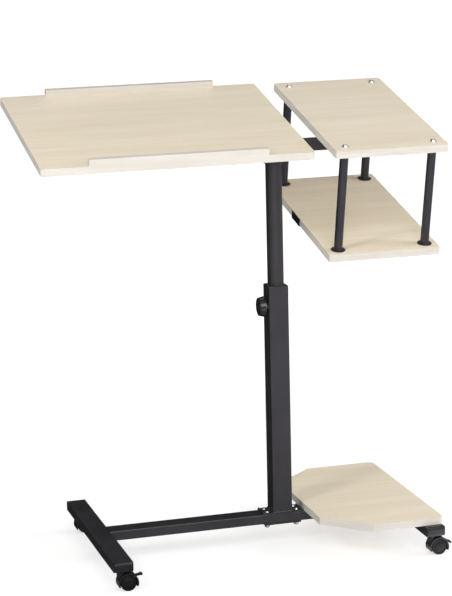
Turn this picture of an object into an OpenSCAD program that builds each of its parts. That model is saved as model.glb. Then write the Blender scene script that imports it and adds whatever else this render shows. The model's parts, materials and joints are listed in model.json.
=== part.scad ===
// Adjustable laptop table on castors: a main top and a two-tier side shelf on one arm,
// tilting on a round mast that slides and turns in a square post.
// Millimetres. +X is to the user's right, +Y away from the user, +Z up, floor at Z = 0.
// The rest pose is the photographed one: mast part way up, tops tilted with the back raised.

/* [Boards] */
// Width of the main top, left to right
top_w = 530; // [440:1:640]
// Depth of the main top, front to back
top_d = 408; // [350:1:500]
// Thickness of every board
board_t = 15; // [12:0.5:19]
// Width of the two side shelves
shelf_w = 230; // [180:1:300]
// Depth of the two side shelves
shelf_d = 408; // [350:1:500]
// How far the side shelves stand ahead of the main top's front edge
shelf_lead = 5; // [0:0.5:20]
// Open slot between the main top and the side shelf
shelf_gap = 41; // [30:1:80]
// Clear height between the two side shelves
shelf_clear = 200; // [150:1:240]
// Radius of the boards' corners, seen from above
board_corner_r = 5; // [1:0.5:8]

/* [Ledges] */
// Length of the front and back ledges
ledge_l = 348; // [250:1:420]
// Height of a ledge above the main top
ledge_h = 13; // [8:0.5:20]
// Depth of a ledge, front to back
ledge_d = 10; // [8:0.5:20]
// Distance between two neighbouring ledge screws
ledge_screw_pitch = 130; // [60:1:150]

/* [Shelf rods] */
// Outer diameter of a shelf rod
rod_d = 17; // [13:0.5:20]
// Wall of a shelf rod
rod_wall = 1.5; // [1:0.1:2.5]
// Distance of a rod's axis from the shelf's side, front and back edges
rod_inset = 25; // [18:0.5:45]
// Diameter of the foot flange on a rod
flange_d = 29; // [23:0.5:34]
// Height of the foot flange on a rod
flange_h = 2.5; // [2:0.5:12]
// Length of the threaded insert in each end of a rod
insert_l = 16; // [10:1:30]

/* [Shelf screws] */
// Thread diameter of the domed shelf screws
dome_screw_d = 6; // [5:0.5:8]
// Diameter of the domed heads
dome_head_d = 15; // [12:0.5:20]
// Height of the domed heads
dome_head_h = 4; // [3:0.5:6]
// Width of the drive slot in a domed head
dome_slot_w = 1.6; // [1:0.1:2.5]

/* [Arm and bearers] */
// Width of the arm under the boards, front to back
arm_w = 25; // [18:0.5:27]
// Height of the arm
arm_h = 20; // [15:0.5:22]
// Wall of the arm
arm_wall = 1.5; // [1:0.1:2]
// Reach of the arm to the left of the mast
arm_left = 432; // [400:1:490]
// Reach of the arm to the right of the mast
arm_right = 248; // [225:1:280]
// Drop from the underside of the boards to the top of the arm
arm_drop = 35; // [30:0.5:60]
// Width of a bearer, along the arm
bearer_w = 60; // [40:1:90]
// Length of a bearer, front to back
bearer_l = 170; // [130:1:240]
// Sheet thickness of a bearer
bearer_t = 2.5; // [1.5:0.1:4]
// Height of a bearer's side walls at their ends
bearer_end_h = 16; // [10:0.5:30]
// Distance of the left bearer's middle from the arm's left end
left_bearer_in = 52; // [35:1:100]
// Distance of the middle bearer from the mast
middle_bearer_x = 110; // [80:1:200]

/* [Tilt clamp] */
// Angle of the tops at rest, with the back raised
tilt_angle = 13; // [-30:1:30]
// Height of the tilt axis above the floor at rest
hinge_z = 817; // [620:1:900]
// Distance from the main top's front edge to the tilt axis
hinge_from_front = 198.5; // [170:0.5:240]
// Distance from the main top's right edge to the mast axis
mast_inset = 20; // [5:0.5:30]
// Outer diameter of the tilt hub
hub_d = 36; // [35:0.5:42]
// Wall of the clamp ring around the hub
ring_wall = 6; // [4:0.5:8]
// Length of the clamp ring, along the tilt axis
ring_l = 44; // [42:0.5:60]
// Thickness of each flange on the tilt hub
hub_flange_t = 3; // [2:0.5:5]
// Radial height of the flanges on the tilt hub
hub_flange_h = 4; // [2:0.5:6]
// Gap between the two clamp ears
ear_gap = 5; // [2:0.5:8]
// Thickness of each clamp ear
ear_t = 6.5; // [4:0.5:9]
// Width of the clamp ears, along the tilt axis
ear_w = 28; // [20:1:40]
// Distance from the tilt axis to the clamp bolt
clamp_bolt_y = 42; // [41:0.5:52]

/* [Mast and post] */
// Outer diameter of the sliding mast
mast_d = 33; // [28:0.5:34]
// Wall of the mast
mast_wall = 1.5; // [1:0.1:2.5]
// Length of the mast tube
mast_l = 440; // [380:1:460]
// Outer width of the square post
post_w = 41; // [38.5:0.5:46]
// Wall of the post
post_wall = 1.5; // [1:0.1:2]
// Length of the post tube
post_l = 470.5; // [440:0.5:520]
// Outer corner radius of the square tubes
tube_corner_r = 2; // [1.6:0.1:4]
// Depth of the guide bush in the post
bush_l = 28; // [20:1:32]
// Thickness of the bush flange on the post's rim
bush_flange_t = 1; // [1:0.5:4]
// Height of the bush collar around the mast
bush_collar_h = 1.5; // [1:0.5:8]
// Length of the inner guide's spigot in the mast
spigot_l = 30; // [15:1:50]
// Height of the inner guide's square slug
slug_h = 12; // [6:1:25]

/* [Knobs] */
// Diameter of the height knob, on the side of the post
height_knob_d = 42; // [34:1:50]
// Diameter of the height knob's outer face
height_knob_face_d = 37; // [30:1:42]
// Thickness of the height knob's grip
height_knob_t = 11.5; // [10:0.5:25]
// Drop from the post's rim to the height knob's axis
height_knob_drop = 42.5; // [38:0.5:80]
// Diameter of the tilt knob
tilt_knob_d = 32; // [26:1:34]
// Thickness of the tilt knob's grip
tilt_knob_t = 15; // [10:0.5:20]
// Thread diameter of both clamping screws
knob_screw_d = 8; // [6:0.5:10]
// Width across flats of the weld nut on the post
weld_nut_af = 14; // [13:0.5:19]
// Thickness of the weld nut on the post
weld_nut_t = 4; // [3:0.5:7]

/* [Base tubes] */
// Width of the base tubes
tube_w = 40; // [34:0.5:50]
// Height of the base tubes
tube_h = 20; // [16:0.5:26]
// Wall of the base tubes
tube_wall = 1.5; // [1:0.1:2.5]
// Distance from the mast to the left foot's centre line
left_reach = 382; // [340:1:450]
// Distance from the mast to the right foot's centre line
right_reach = 259; // [235:1:300]
// Distance from the mast axis to the feet's front ends
foot_front = 217; // [190:1:260]
// Distance from the mast axis to the feet's back ends
foot_back = 221; // [190:1:260]
// Thickness of the plastic end caps outside the tubes
cap_t = 6; // [4:0.5:8]
// Depth of the plastic end caps inside the tubes
cap_insert_l = 9; // [6:0.5:10]

/* [Post fixing] */
// Half width of the post's base plate
base_plate_reach = 42; // [41:0.5:50]
// Thickness of the base plate and of the lower clamp plate
plate_t = 3; // [2.5:0.5:6]
// Height of the turned-up lips on the base plate
plate_lip_h = 1.5; // [1:0.5:12]
// Distance from the mast axis to the base bolts, left and right
base_bolt_x = 31; // [30:0.5:35]
// Distance from the mast axis to the base bolts, front and back
base_bolt_y = 11; // [9:0.5:13]
// Thread diameter of the base bolts
base_bolt_d = 6; // [5:0.5:6.5]
// Height of the gussets beside the post
gusset_h = 8; // [5:0.5:30]
// Reach of the gussets from the post
gusset_reach = 6; // [4:0.5:9]

/* [Foot board] */
// Width of the foot board
foot_board_w = 235; // [225:1:280]
// Depth of the foot board
foot_board_d = 422; // [360:1:440]
// How far the foot board's middle lies behind the mast axis
foot_board_shift = 10; // [-10:0.5:20]
// Left corner cut of the foot board, measured along X
foot_cut_x = 86; // [40:1:100]
// Left corner cut of the foot board, measured along Y
foot_cut_y = 80; // [40:1:110]
// Right corner radius of the foot board
foot_board_r = 12; // [4:1:25]
// Gap between the base plate and the foot board
foot_board_gap = 4; // [0.5:0.5:8]
// Distance of the foot board's screws from the mast axis, front and back
foot_screw_y = 120; // [80:1:130]

/* [Castors] */
// Height of a castor, from the floor to the base tubes
castor_h = 43; // [42:0.5:60]
// Diameter of a castor wheel
wheel_d = 32; // [24:0.5:34]
// Width of each castor wheel
wheel_w = 8.5; // [6:0.5:12]
// Offset of the wheels from the swivel axis
castor_trail = 12; // [8:0.5:16]
// Distance of the castors from the ends of the feet
castor_inset = 26; // [22:0.5:40]
// Wall of the castor hood
hood_wall = 3; // [2.8:0.1:4]
// Thickness of the web between a castor's wheels
web_t = 5; // [3:0.5:6]
// Diameter of the swivel stem
stem_d = 8; // [6:0.5:10]
// Diameter of the wheel axle
axle_d = 5; // [4:0.5:6]
// Diameter of the stem socket's flange
socket_flange_d = 20; // [18:0.5:24]
// Reach of a brake lever from its pin
lever_l = 14.4; // [11:0.2:18]
// Rise of the front left brake lever, which is off
left_lever_rise = 8; // [-30:1:20]
// Rise of the front right brake lever, which is pressed on
right_lever_rise = -30; // [-30:1:20]

/* [Cable clip] */
// Length of the clip on the lower shelf's left edge
clip_l = 50; // [30:1:80]
// Distance of the clip's middle behind the tilt axis
clip_y = 12; // [-60:1:80]
// Wall of the clip
clip_t = 1.5; // [1:0.1:3]
// Reach of the clip's lip under the board
clip_lip = 6; // [3:0.5:12]
// Distance of the clip's upper edge below the board's top face
clip_drop = 1; // [0.5:0.5:5]

/* [Clearances] */
// Radial running clearance of turning and sliding round fits
run_fit = 0.08; // [0.04:0.01:0.1]
// Clearance around inserts, screws and plugs of one body
seat_fit = 0.05; // [0.02:0.01:0.1]
// Gap between neighbouring faces that move past each other
move_gap = 0.3; // [0.2:0.05:0.6]
// Extra diameter of clearance holes
hole_extra = 0.4; // [0.2:0.1:1]

/* [Hidden] */
$fn = 64;
eps = 0.01;
cut = 1;

// Colours as photographed
maple = [0.88, 0.84, 0.75];
edge_cream = [0.94, 0.92, 0.87];
black_steel = [0.15, 0.14, 0.16];
black_plastic = [0.08, 0.08, 0.09];
bright_steel = [0.72, 0.72, 0.73];
grey_wheel = [0.22, 0.23, 0.25];

// Heights of the base
tube_z = castor_h;
tube_top = tube_z + tube_h;
post_z = tube_top + plate_t;
post_top = post_z + post_l;

// Tops, seen in the tilting frame whose origin is the tilt axis above the mast
under_z = arm_h / 2 + arm_drop;
surface_z = under_z + board_t;
front_y = -hinge_from_front;
back_y = front_y + top_d;
main_x0 = mast_inset - top_w;
main_x1 = mast_inset;
shelf_x0 = main_x1 + shelf_gap;
shelf_x1 = shelf_x0 + shelf_w;
shelf_y0 = front_y - shelf_lead;
shelf_y1 = shelf_y0 + shelf_d;
lower_top_z = under_z - shelf_clear;
lower_z = lower_top_z - board_t;
ledge_x0 = (main_x0 + main_x1 - ledge_l) / 2;

// Arm and bearers
arm_corner_r = 1.5;
arm_cap_t = 2.5;
bearer_foot = 5;
bearer_screw_inset = 14;
left_bearer_x = arm_left - left_bearer_in;
side_bearer_x = (shelf_x0 + shelf_x1) / 2;
bearer_places = [-left_bearer_x, -middle_bearer_x, side_bearer_x];

// Tilt clamp
hub_r = hub_d / 2;
ring_r = hub_r + run_fit + ring_wall;
ear_y1 = clamp_bolt_y + knob_screw_d;
tilt_ear_z = ear_gap / 2 + ear_t;
socket_wall = 3.5;
socket_ceiling = 3.4;
mast_top_z = hinge_z - hub_r - run_fit - socket_ceiling - seat_fit;
socket_depth = 11;
mast_r = mast_d / 2;
mast_z = mast_top_z - mast_l;
tilt_bolt_head_h = 5;
tilt_bolt_head_rim = 3.2;

// Height knob
post_in = post_w - 2 * post_wall;
bush_flange_inset = 0.5;
bush_collar_wall = 1.5;
height_knob_z = post_top - height_knob_drop;
knob_face_x = -post_w / 2 - weld_nut_t - move_gap;
knob_boss_h = 1;
knob_boss_d = 18;
knob_crown_h = 0.6;
knob_lobes = 6;
notch_r = 6.5;
notch_depth = 3;
stud_embed = 9;

// Base
foot_board_x0 = base_plate_reach + foot_board_gap;
foot_board_y0 = foot_board_shift - foot_board_d / 2;
plate_half_y = tube_w / 2;
bolt_af = 10;
base_head_h = 2.5;
base_head_d = 11;
base_head_top_d = 7.5;
base_nut_h = 5;
bolt_tail = 2;

// Castors
wheel_r = wheel_d / 2;
tread_gap = 1.2;
hood_in_r = wheel_r + tread_gap;
hood_r = hood_in_r + hood_wall;
hood_skirt_z = 9;
stem_seat_depth = 6;
hood_stem_z = wheel_r + hood_r - stem_seat_depth;
neck_z = hood_stem_z - 4;
wheel_in_y = web_t / 2 + tread_gap;
hood_half_y = wheel_in_y + wheel_w + tread_gap;
socket_flange_t = 2;
socket_d = 14;
socket_depth_in_tube = tube_h - tube_wall - 1;
neck_d = 18;
neck_top = castor_h - socket_flange_t - move_gap;
lever_angle = 35;
lever_pin_r = 0.9;
lever_eye_r = 2.8;
lever_gap = 0.35;
lever_pocket = 2.2;
lever_w = 2 * (wheel_in_y - lever_gap);
lever_pin_half = lever_w / 2 + 4.5;
lever_pad_w = 12;
lever_pad_l = 4.5;
lever_t = 1.2;
lever_top = 2.6;
lever_tip_top = lever_top - 0.6;
lever_pin_run = 0.06;
lever_x = castor_trail + (hood_in_r + hood_wall / 2 + 0.1) * cos(lever_angle);
lever_z = wheel_r + (hood_in_r + hood_wall / 2 + 0.1) * sin(lever_angle);

// The origin is the middle of the footprint of the whole table at rest
reach_left = max(-main_x0, left_reach + tube_w / 2);
lever_tip_x = right_reach + lever_x + lever_l * cos(right_lever_rise)
  - lever_tip_top * sin(right_lever_rise);
reach_right = max(lever_tip_x, right_reach + castor_trail + hood_r, shelf_x1, foot_board_x0 + foot_board_w);
lower_back_y = shelf_y1 * cos(tilt_angle) - lower_z * sin(tilt_angle);
reach_front = max(foot_front, -shelf_y0 * cos(tilt_angle) + surface_z * sin(tilt_angle));
reach_back = max(foot_back, lower_back_y);
mast_x = (reach_left - reach_right) / 2;
mast_y = (reach_front - reach_back) / 2;

// Castor places: left or right foot, front or back end
front_castor_y = -foot_front + castor_inset;
back_castor_y = foot_back - castor_inset;

// Small screws
wood_screw_d = 4;
wood_screw_head_d = 8;
wood_screw_head_h = 2.5;
wood_screw_bite = 10;
recess_w = 1.1;
recess_depth = 1.2;
recess_reach = 0.3;
head_ease = 0.6;
board_screw_d = 5;
board_screw_head_d = 10;
board_screw_head_h = 3;
ledge_screw_cover = 4;
flange_ease = 1;
dome_slot_l = 8;
dome_slot_depth = 1.8;
ledge_screw_l = board_t + ledge_h - ledge_screw_cover;

// Frames
module at_mast() {
  translate([mast_x, mast_y, 0]) children();
}

module tilted() {
  translate([mast_x, mast_y, hinge_z]) rotate([tilt_angle, 0, 0]) children();
}

module at_castor(x, y) {
  at_mast() translate([x, y, 0]) children();
}

module at_front_left() {
  at_castor(-left_reach, front_castor_y) children();
}

module at_front_right() {
  at_castor(right_reach, front_castor_y) children();
}

module at_back_left() {
  at_castor(-left_reach, back_castor_y) children();
}

module at_back_right() {
  at_castor(right_reach, back_castor_y) children();
}

// Shared shapes
module rounded_rect(w, d, r) {
  translate([r, 0]) square([w - 2 * r, d]);
  translate([0, r]) square([w, d - 2 * r]);
  for (x = [r, w - r], y = [r, d - r]) translate([x, y]) circle(r);
}

module centred_rect(w, d, r) {
  translate([-w / 2, -d / 2]) rounded_rect(w, d, r);
}

module tube_section(w, d, wall, r) {
  difference() {
    centred_rect(w, d, r);
    centred_rect(w - 2 * wall, d - 2 * wall, r - min(wall, r / 2));
  }
}

module along_x(l) {
  rotate([90, 0, 90]) linear_extrude(l) children();
}

module along_y(l) {
  translate([0, l, 0]) rotate([90, 0, 0]) linear_extrude(l) children();
}

module bar_x(r, l) {
  rotate([0, 90, 0]) cylinder(r = r, h = l);
}

module bar_y(r, l) {
  rotate([-90, 0, 0]) cylinder(r = r, h = l);
}

module hex_prism(af, h) {
  cylinder(d = af / cos(30), h = h, $fn = 6);
}

module cross_recess(head_d) {
  // Two crossed slots, open towards -Z from Z = 0
  for (turn = [0, 90]) rotate([0, 0, turn])
    translate([-head_d * recess_reach, -recess_w / 2, -cut])
      cube([2 * head_d * recess_reach, recess_w, cut + recess_depth]);
}

module pan_screw(d, head_d, head_h, l) {
  difference() {
    translate([0, 0, -head_h]) cylinder(d1 = head_d - 2 * head_ease, d2 = head_d, h = head_h);
    translate([0, 0, -head_h]) cross_recess(head_d);
  }
  translate([0, 0, -eps]) cylinder(d = d, h = l + eps);
}

module sunk_screw(d, head_d, l) {
  // Flat head flush with Z = 0, narrowing towards +Z
  difference() {
    cylinder(d1 = head_d, d2 = d, h = (head_d - d) / 2);
    cross_recess(head_d);
  }
  translate([0, 0, (head_d - d) / 2 - eps]) cylinder(d = d, h = l - (head_d - d) / 2 + eps);
}

module lobed_grip(d, face_d, t) {
  difference() {
    cylinder(d1 = d, d2 = face_d, h = t);
    for (i = [0 : knob_lobes - 1]) rotate([0, 0, (i + 0.5) * 360 / knob_lobes])
      translate([d / 2 + notch_r - notch_depth, 0, -cut]) cylinder(r = notch_r, h = t + 2 * cut);
  }
}

module board(x0, x1, y0, y1, z) {
  translate([x0, y0, z]) linear_extrude(board_t) rounded_rect(x1 - x0, y1 - y0, board_corner_r);
}

module at_rods() {
  for (x = [shelf_x0 + rod_inset, shelf_x1 - rod_inset], y = [shelf_y0 + rod_inset, shelf_y1 - rod_inset])
    translate([x, y, 0]) children();
}

// Base frame
module foot_tube(x) {
  at_mast() difference() {
    translate([x, -foot_front + cap_t, tube_z + tube_h / 2])
      along_y(foot_front + foot_back - 2 * cap_t) tube_section(tube_w, tube_h, tube_wall, tube_corner_r);
    for (y = [front_castor_y, back_castor_y])
      translate([x, y, tube_z - cut]) cylinder(d = socket_d + 2 * seat_fit, h = tube_wall + 2 * cut);
    if (x > 0) at_foot_screws() cylinder(d = board_screw_d + hole_extra, h = tube_h + 2 * cut);
  }
}

module at_foot_screws() {
  for (y = [-foot_screw_y, foot_screw_y]) translate([right_reach, y, tube_z - cut]) children();
}

module beam_screw_place() {
  translate([(foot_board_x0 + foot_cut_x + right_reach - tube_w / 2) / 2, 0, tube_z - cut]) children();
}

module left_foot_tube() {
  color(black_steel) foot_tube(-left_reach);
}

module right_foot_tube() {
  color(black_steel) foot_tube(right_reach);
}

module base_beam() {
  color(black_steel) at_mast() difference() {
    translate([-left_reach + tube_w / 2, 0, tube_z + tube_h / 2])
      along_x(left_reach + right_reach - tube_w) tube_section(tube_w, tube_h, tube_wall, tube_corner_r);
    at_base_bolts() translate([0, 0, tube_z - cut])
      cylinder(d = base_bolt_d + hole_extra, h = tube_h + 2 * cut);
    beam_screw_place() cylinder(d = board_screw_d + hole_extra, h = tube_h + 2 * cut);
  }
}

module cap_profile() {
  // Side view of an end cap: flat against the tube, rounded towards the front
  nose_r = cap_t - eps;
  square([eps, tube_h]);
  translate([0, nose_r]) square([cap_t, tube_h - 2 * nose_r]);
  square([cap_t - nose_r, tube_h]);
  for (z = [nose_r, tube_h - nose_r]) translate([cap_t - nose_r, z]) intersection() {
    circle(nose_r);
    translate([0, -nose_r]) square([nose_r, 2 * nose_r]);
  }
}

module end_cap() {
  // Local frame: the tube ends at Y = 0 and the cap's nose points to -Y
  rotate([0, 0, -90]) translate([0, -tube_w / 2, -tube_h / 2])
    along_y(tube_w) cap_profile();
  inset = tube_wall + seat_fit;
  translate([0, -eps, 0]) along_y(cap_insert_l)
    centred_rect(tube_w - 2 * inset, tube_h - 2 * inset, tube_corner_r - min(tube_wall, tube_corner_r / 2));
}

module foot_end_caps() {
  color(black_plastic) at_mast() for (x = [-left_reach, right_reach]) {
    translate([x, -foot_front + cap_t, tube_z + tube_h / 2]) end_cap();
    translate([x, foot_back - cap_t, tube_z + tube_h / 2]) rotate([0, 0, 180]) end_cap();
  }
}

// Foot board
module foot_board_outline() {
  x1 = foot_board_x0 + foot_board_w;
  y1 = foot_board_y0 + foot_board_d;
  polygon([
    [foot_board_x0, foot_board_y0 + foot_cut_y],
    [foot_board_x0 + foot_cut_x, foot_board_y0],
    [x1 - foot_board_r, foot_board_y0],
    [x1 - foot_board_r, y1],
    [foot_board_x0 + foot_cut_x, y1],
    [foot_board_x0, y1 - foot_cut_y]
  ]);
  translate([x1 - foot_board_r - eps, foot_board_y0 + foot_board_r])
    square([foot_board_r + eps, foot_board_d - 2 * foot_board_r]);
  for (y = [foot_board_y0 + foot_board_r, y1 - foot_board_r])
    translate([x1 - foot_board_r, y]) circle(foot_board_r);
}

module foot_board() {
  color(maple) at_mast() difference() {
    translate([0, 0, tube_top]) linear_extrude(board_t) foot_board_outline();
    at_foot_screws() cylinder(d = board_screw_d + 2 * seat_fit, h = cut + tube_h + wood_screw_bite + cut);
    beam_screw_place() cylinder(d = board_screw_d + 2 * seat_fit, h = cut + tube_h + wood_screw_bite + cut);
  }
}

module foot_board_screws() {
  color(bright_steel) at_mast() {
    at_foot_screws() translate([0, 0, cut])
      pan_screw(board_screw_d, board_screw_head_d, board_screw_head_h, tube_h + wood_screw_bite);
    beam_screw_place() translate([0, 0, cut])
      pan_screw(board_screw_d, board_screw_head_d, board_screw_head_h, tube_h + wood_screw_bite);
  }
}

// Post fixing
module at_base_bolts() {
  for (x = [-base_bolt_x, base_bolt_x], y = [-base_bolt_y, base_bolt_y]) translate([x, y, 0]) children();
}

module post_base_plate() {
  color(black_steel) at_mast() difference() {
    union() {
      translate([-base_plate_reach, -plate_half_y, tube_top])
        cube([2 * base_plate_reach, 2 * plate_half_y, plate_t]);
      for (x = [-base_plate_reach, base_plate_reach - plate_t])
        translate([x, -plate_half_y, tube_top]) cube([plate_t, 2 * plate_half_y, plate_t + plate_lip_h]);
    }
    at_base_bolts() translate([0, 0, tube_top - cut])
      cylinder(d = base_bolt_d + hole_extra, h = plate_t + 2 * cut);
  }
}

module post_gussets() {
  color(black_steel) at_mast() for (side = [0, 180]) rotate([0, 0, side])
    translate([post_w / 2, -plate_t / 2, post_z]) along_y(plate_t)
      polygon([[0, 0], [gusset_reach, 0], [0, gusset_h]]);
}

module lower_clamp_plate() {
  color(black_steel) at_mast() difference() {
    translate([-base_plate_reach + plate_t, -plate_half_y, tube_z - plate_t])
      cube([2 * (base_plate_reach - plate_t), 2 * plate_half_y, plate_t]);
    at_base_bolts() translate([0, 0, tube_z - plate_t - cut])
      cylinder(d = base_bolt_d + hole_extra, h = plate_t + 2 * cut);
  }
}

module base_bolts() {
  shank = tube_h + 2 * plate_t + base_nut_h + bolt_tail;
  color(bright_steel) at_mast() at_base_bolts() {
    translate([0, 0, post_z]) cylinder(d1 = base_head_d, d2 = base_head_top_d, h = base_head_h);
    translate([0, 0, post_z - shank]) cylinder(d = base_bolt_d, h = shank + eps);
  }
}

module base_nuts() {
  color(bright_steel) at_mast() at_base_bolts() translate([0, 0, tube_z - plate_t - base_nut_h])
    difference() {
      hex_prism(bolt_af, base_nut_h);
      translate([0, 0, -cut]) cylinder(d = base_bolt_d + 2 * seat_fit, h = base_nut_h + 2 * cut);
    }
}

// Post and height clamp
module post_tube() {
  color(black_steel) at_mast() difference() {
    translate([0, 0, post_z]) linear_extrude(post_l) tube_section(post_w, post_w, post_wall, tube_corner_r);
    translate([-post_w / 2 - cut, 0, height_knob_z])
      bar_x(knob_screw_d / 2 + run_fit, post_wall + 2 * cut);
  }
}

module post_guide_bush() {
  side = post_in - 2 * seat_fit;
  color(black_plastic) at_mast() difference() {
    union() {
      translate([0, 0, post_top - bush_l]) linear_extrude(bush_l + eps)
        centred_rect(side, side, tube_corner_r - min(post_wall, tube_corner_r / 2));
      translate([0, 0, post_top]) linear_extrude(bush_flange_t)
        centred_rect(post_w - 2 * bush_flange_inset, post_w - 2 * bush_flange_inset, tube_corner_r);
      translate([0, 0, post_top + bush_flange_t - eps])
        cylinder(r = mast_r + bush_collar_wall, h = bush_collar_h);
    }
    translate([0, 0, post_top - bush_l - cut])
      cylinder(r = mast_r + run_fit, h = bush_l + bush_flange_t + bush_collar_h + 2 * cut);
  }
}

module post_weld_nut() {
  color(bright_steel) at_mast() translate([-post_w / 2 - weld_nut_t, 0, height_knob_z])
    rotate([0, 90, 0]) difference() {
      hex_prism(weld_nut_af, weld_nut_t);
      translate([0, 0, -cut]) cylinder(r = knob_screw_d / 2 + run_fit, h = weld_nut_t + 2 * cut);
    }
}

module height_knob() {
  // The grip's axis runs to -X, away from the post
  color(black_plastic) at_mast() translate([knob_face_x, 0, height_knob_z]) rotate([0, -90, 0])
    difference() {
      union() {
        cylinder(d = knob_boss_d, h = knob_boss_h + eps);
        translate([0, 0, knob_boss_h]) lobed_grip(height_knob_d, height_knob_face_d, height_knob_t);
        translate([0, 0, knob_boss_h + height_knob_t - eps])
          cylinder(d1 = knob_boss_d + 2 * knob_crown_h, d2 = knob_boss_d, h = knob_crown_h + eps);
      }
      translate([0, 0, -cut]) cylinder(r = knob_screw_d / 2 + seat_fit, h = stud_embed + cut);
    }
}

module height_knob_stud() {
  // The stud ends just clear of the mast, which it clamps when it is turned in
  color(bright_steel) at_mast() translate([-mast_r - move_gap, 0, height_knob_z]) rotate([0, -90, 0])
    cylinder(d = knob_screw_d, h = -knob_face_x - mast_r - move_gap + stud_embed);
}

// Mast
module inner_guide() {
  side = post_in - 2 * move_gap;
  color(black_plastic) at_mast() {
    translate([0, 0, mast_z - slug_h]) linear_extrude(slug_h)
      centred_rect(side, side, tube_corner_r - min(post_wall, tube_corner_r / 2));
    translate([0, 0, mast_z - eps]) cylinder(r = mast_r - mast_wall - run_fit, h = spigot_l + eps);
  }
}

module mast_tube() {
  color(black_steel) at_mast() translate([0, 0, mast_z + move_gap]) difference() {
    cylinder(r = mast_r, h = mast_l - move_gap);
    translate([0, 0, -cut]) cylinder(r = mast_r - mast_wall, h = mast_l + 2 * cut);
  }
}

module mast_head() {
  ear_h = 2 * ear_t + ear_gap;
  color(black_steel) at_mast() translate([0, 0, hinge_z]) difference() {
    union() {
      translate([-ring_l / 2, 0, 0]) bar_x(ring_r, ring_l);
      translate([0, 0, mast_top_z + seat_fit - socket_depth - hinge_z])
        cylinder(r = mast_r + socket_wall, h = socket_depth + ring_wall);
      translate([-ear_w / 2, 0, -ear_h / 2]) cube([ear_w, ear_y1, ear_h]);
    }
    translate([-ring_l / 2 - cut, 0, 0]) bar_x(hub_r + run_fit, ring_l + 2 * cut);
    translate([0, 0, mast_top_z + seat_fit - socket_depth - hinge_z - cut])
      cylinder(r = mast_r + seat_fit, h = socket_depth + cut);
    translate([-ring_l / 2 - cut, 0, -ear_gap / 2]) cube([ring_l + 2 * cut, ear_y1 + cut, ear_gap]);
    translate([0, clamp_bolt_y, -ear_h / 2 - cut])
      cylinder(r = knob_screw_d / 2 + run_fit, h = ear_h + 2 * cut);
  }
}

module tilt_clamp_bolt() {
  // Carriage bolt, head up, held from turning by its seat on the upper ear
  head_d = knob_screw_d + 2 * tilt_bolt_head_rim;
  shank = 2 * tilt_ear_z + move_gap + stud_embed;
  color(bright_steel) at_mast() translate([0, clamp_bolt_y, hinge_z]) {
    translate([0, 0, tilt_ear_z]) cylinder(d1 = head_d, d2 = knob_screw_d, h = tilt_bolt_head_h);
    translate([0, 0, tilt_ear_z - shank]) cylinder(d = knob_screw_d, h = shank + eps);
  }
}

module tilt_knob() {
  color(black_plastic) at_mast() translate([0, clamp_bolt_y, hinge_z - tilt_ear_z - move_gap])
    rotate([180, 0, 0]) difference() {
      union() {
        cylinder(d = knob_boss_d, h = knob_boss_h + eps);
        translate([0, 0, knob_boss_h]) lobed_grip(tilt_knob_d, tilt_knob_d, tilt_knob_t);
      }
      translate([0, 0, -cut]) cylinder(r = knob_screw_d / 2 + run_fit, h = stud_embed + cut + move_gap);
    }
}

// Arm and bearers, in the tilting frame
module tilt_hub() {
  half = ring_l / 2 + move_gap + hub_flange_t;
  color(black_plastic) tilted() difference() {
    union() {
      translate([-half, 0, 0]) bar_x(hub_r, 2 * half);
      for (x = [-half, half - hub_flange_t]) translate([x, 0, 0]) bar_x(hub_r + hub_flange_h, hub_flange_t);
    }
    translate([-half - cut, 0, 0]) along_x(2 * (half + cut))
      square([arm_w + 2 * seat_fit, arm_h + 2 * seat_fit], center = true);
  }
}

module cross_arm() {
  color(black_steel) tilted() translate([-arm_left, 0, 0])
    along_x(arm_left + arm_right) tube_section(arm_w, arm_h, arm_wall, arm_corner_r);
}

module arm_end_caps() {
  inset = arm_wall + seat_fit;
  color(black_plastic) tilted() for (side = [-1, 1]) {
    end_x = side < 0 ? -arm_left : arm_right;
    translate([side < 0 ? end_x - arm_cap_t : end_x, 0, 0])
      along_x(arm_cap_t) centred_rect(arm_w, arm_h, arm_corner_r);
    translate([side < 0 ? end_x - eps : end_x - cap_insert_l, 0, 0])
      along_x(cap_insert_l + eps)
        centred_rect(arm_w - 2 * inset, arm_h - 2 * inset, arm_corner_r - arm_wall / 2);
  }
}

module bearer_wall() {
  // Side view of a bearer wall, with a window for the arm
  low = -arm_h / 2 - bearer_foot;
  high = under_z;
  half = bearer_l / 2;
  mid = arm_w / 2 + 2 * bearer_foot;
  difference() {
    polygon([[-half, high], [half, high], [half, high - bearer_end_h], [mid, low], [-mid, low],
             [-half, high - bearer_end_h]]);
    square([arm_w + 2 * seat_fit, arm_h + 2 * seat_fit], center = true);
  }
}

module at_bearer_screws(x) {
  reach_x = bearer_w / 2 - bearer_screw_inset;
  reach_y = bearer_l / 2 - bearer_screw_inset;
  for (dx = [-reach_x, reach_x], y = [-reach_y, reach_y])
    translate([x + dx, y, under_z - bearer_t]) children();
}

module bearer(x) {
  color(black_steel) tilted() difference() {
    union() {
      translate([x - bearer_w / 2, -bearer_l / 2, under_z - bearer_t]) cube([bearer_w, bearer_l, bearer_t]);
      for (wall_x = [x - bearer_w / 2, x + bearer_w / 2 - bearer_t])
        translate([wall_x, 0, 0]) along_x(bearer_t) bearer_wall();
    }
    at_bearer_screws(x) translate([0, 0, -cut])
      cylinder(d = wood_screw_d + hole_extra, h = bearer_t + 2 * cut);
  }
}

module left_bearer() {
  bearer(-left_bearer_x);
}

module middle_bearer() {
  bearer(-middle_bearer_x);
}

module side_bearer() {
  bearer(side_bearer_x);
}

module bearer_screws() {
  color(bright_steel) tilted() for (x = bearer_places) at_bearer_screws(x)
    pan_screw(wood_screw_d, wood_screw_head_d, wood_screw_head_h, bearer_t + wood_screw_bite);
}

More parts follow.
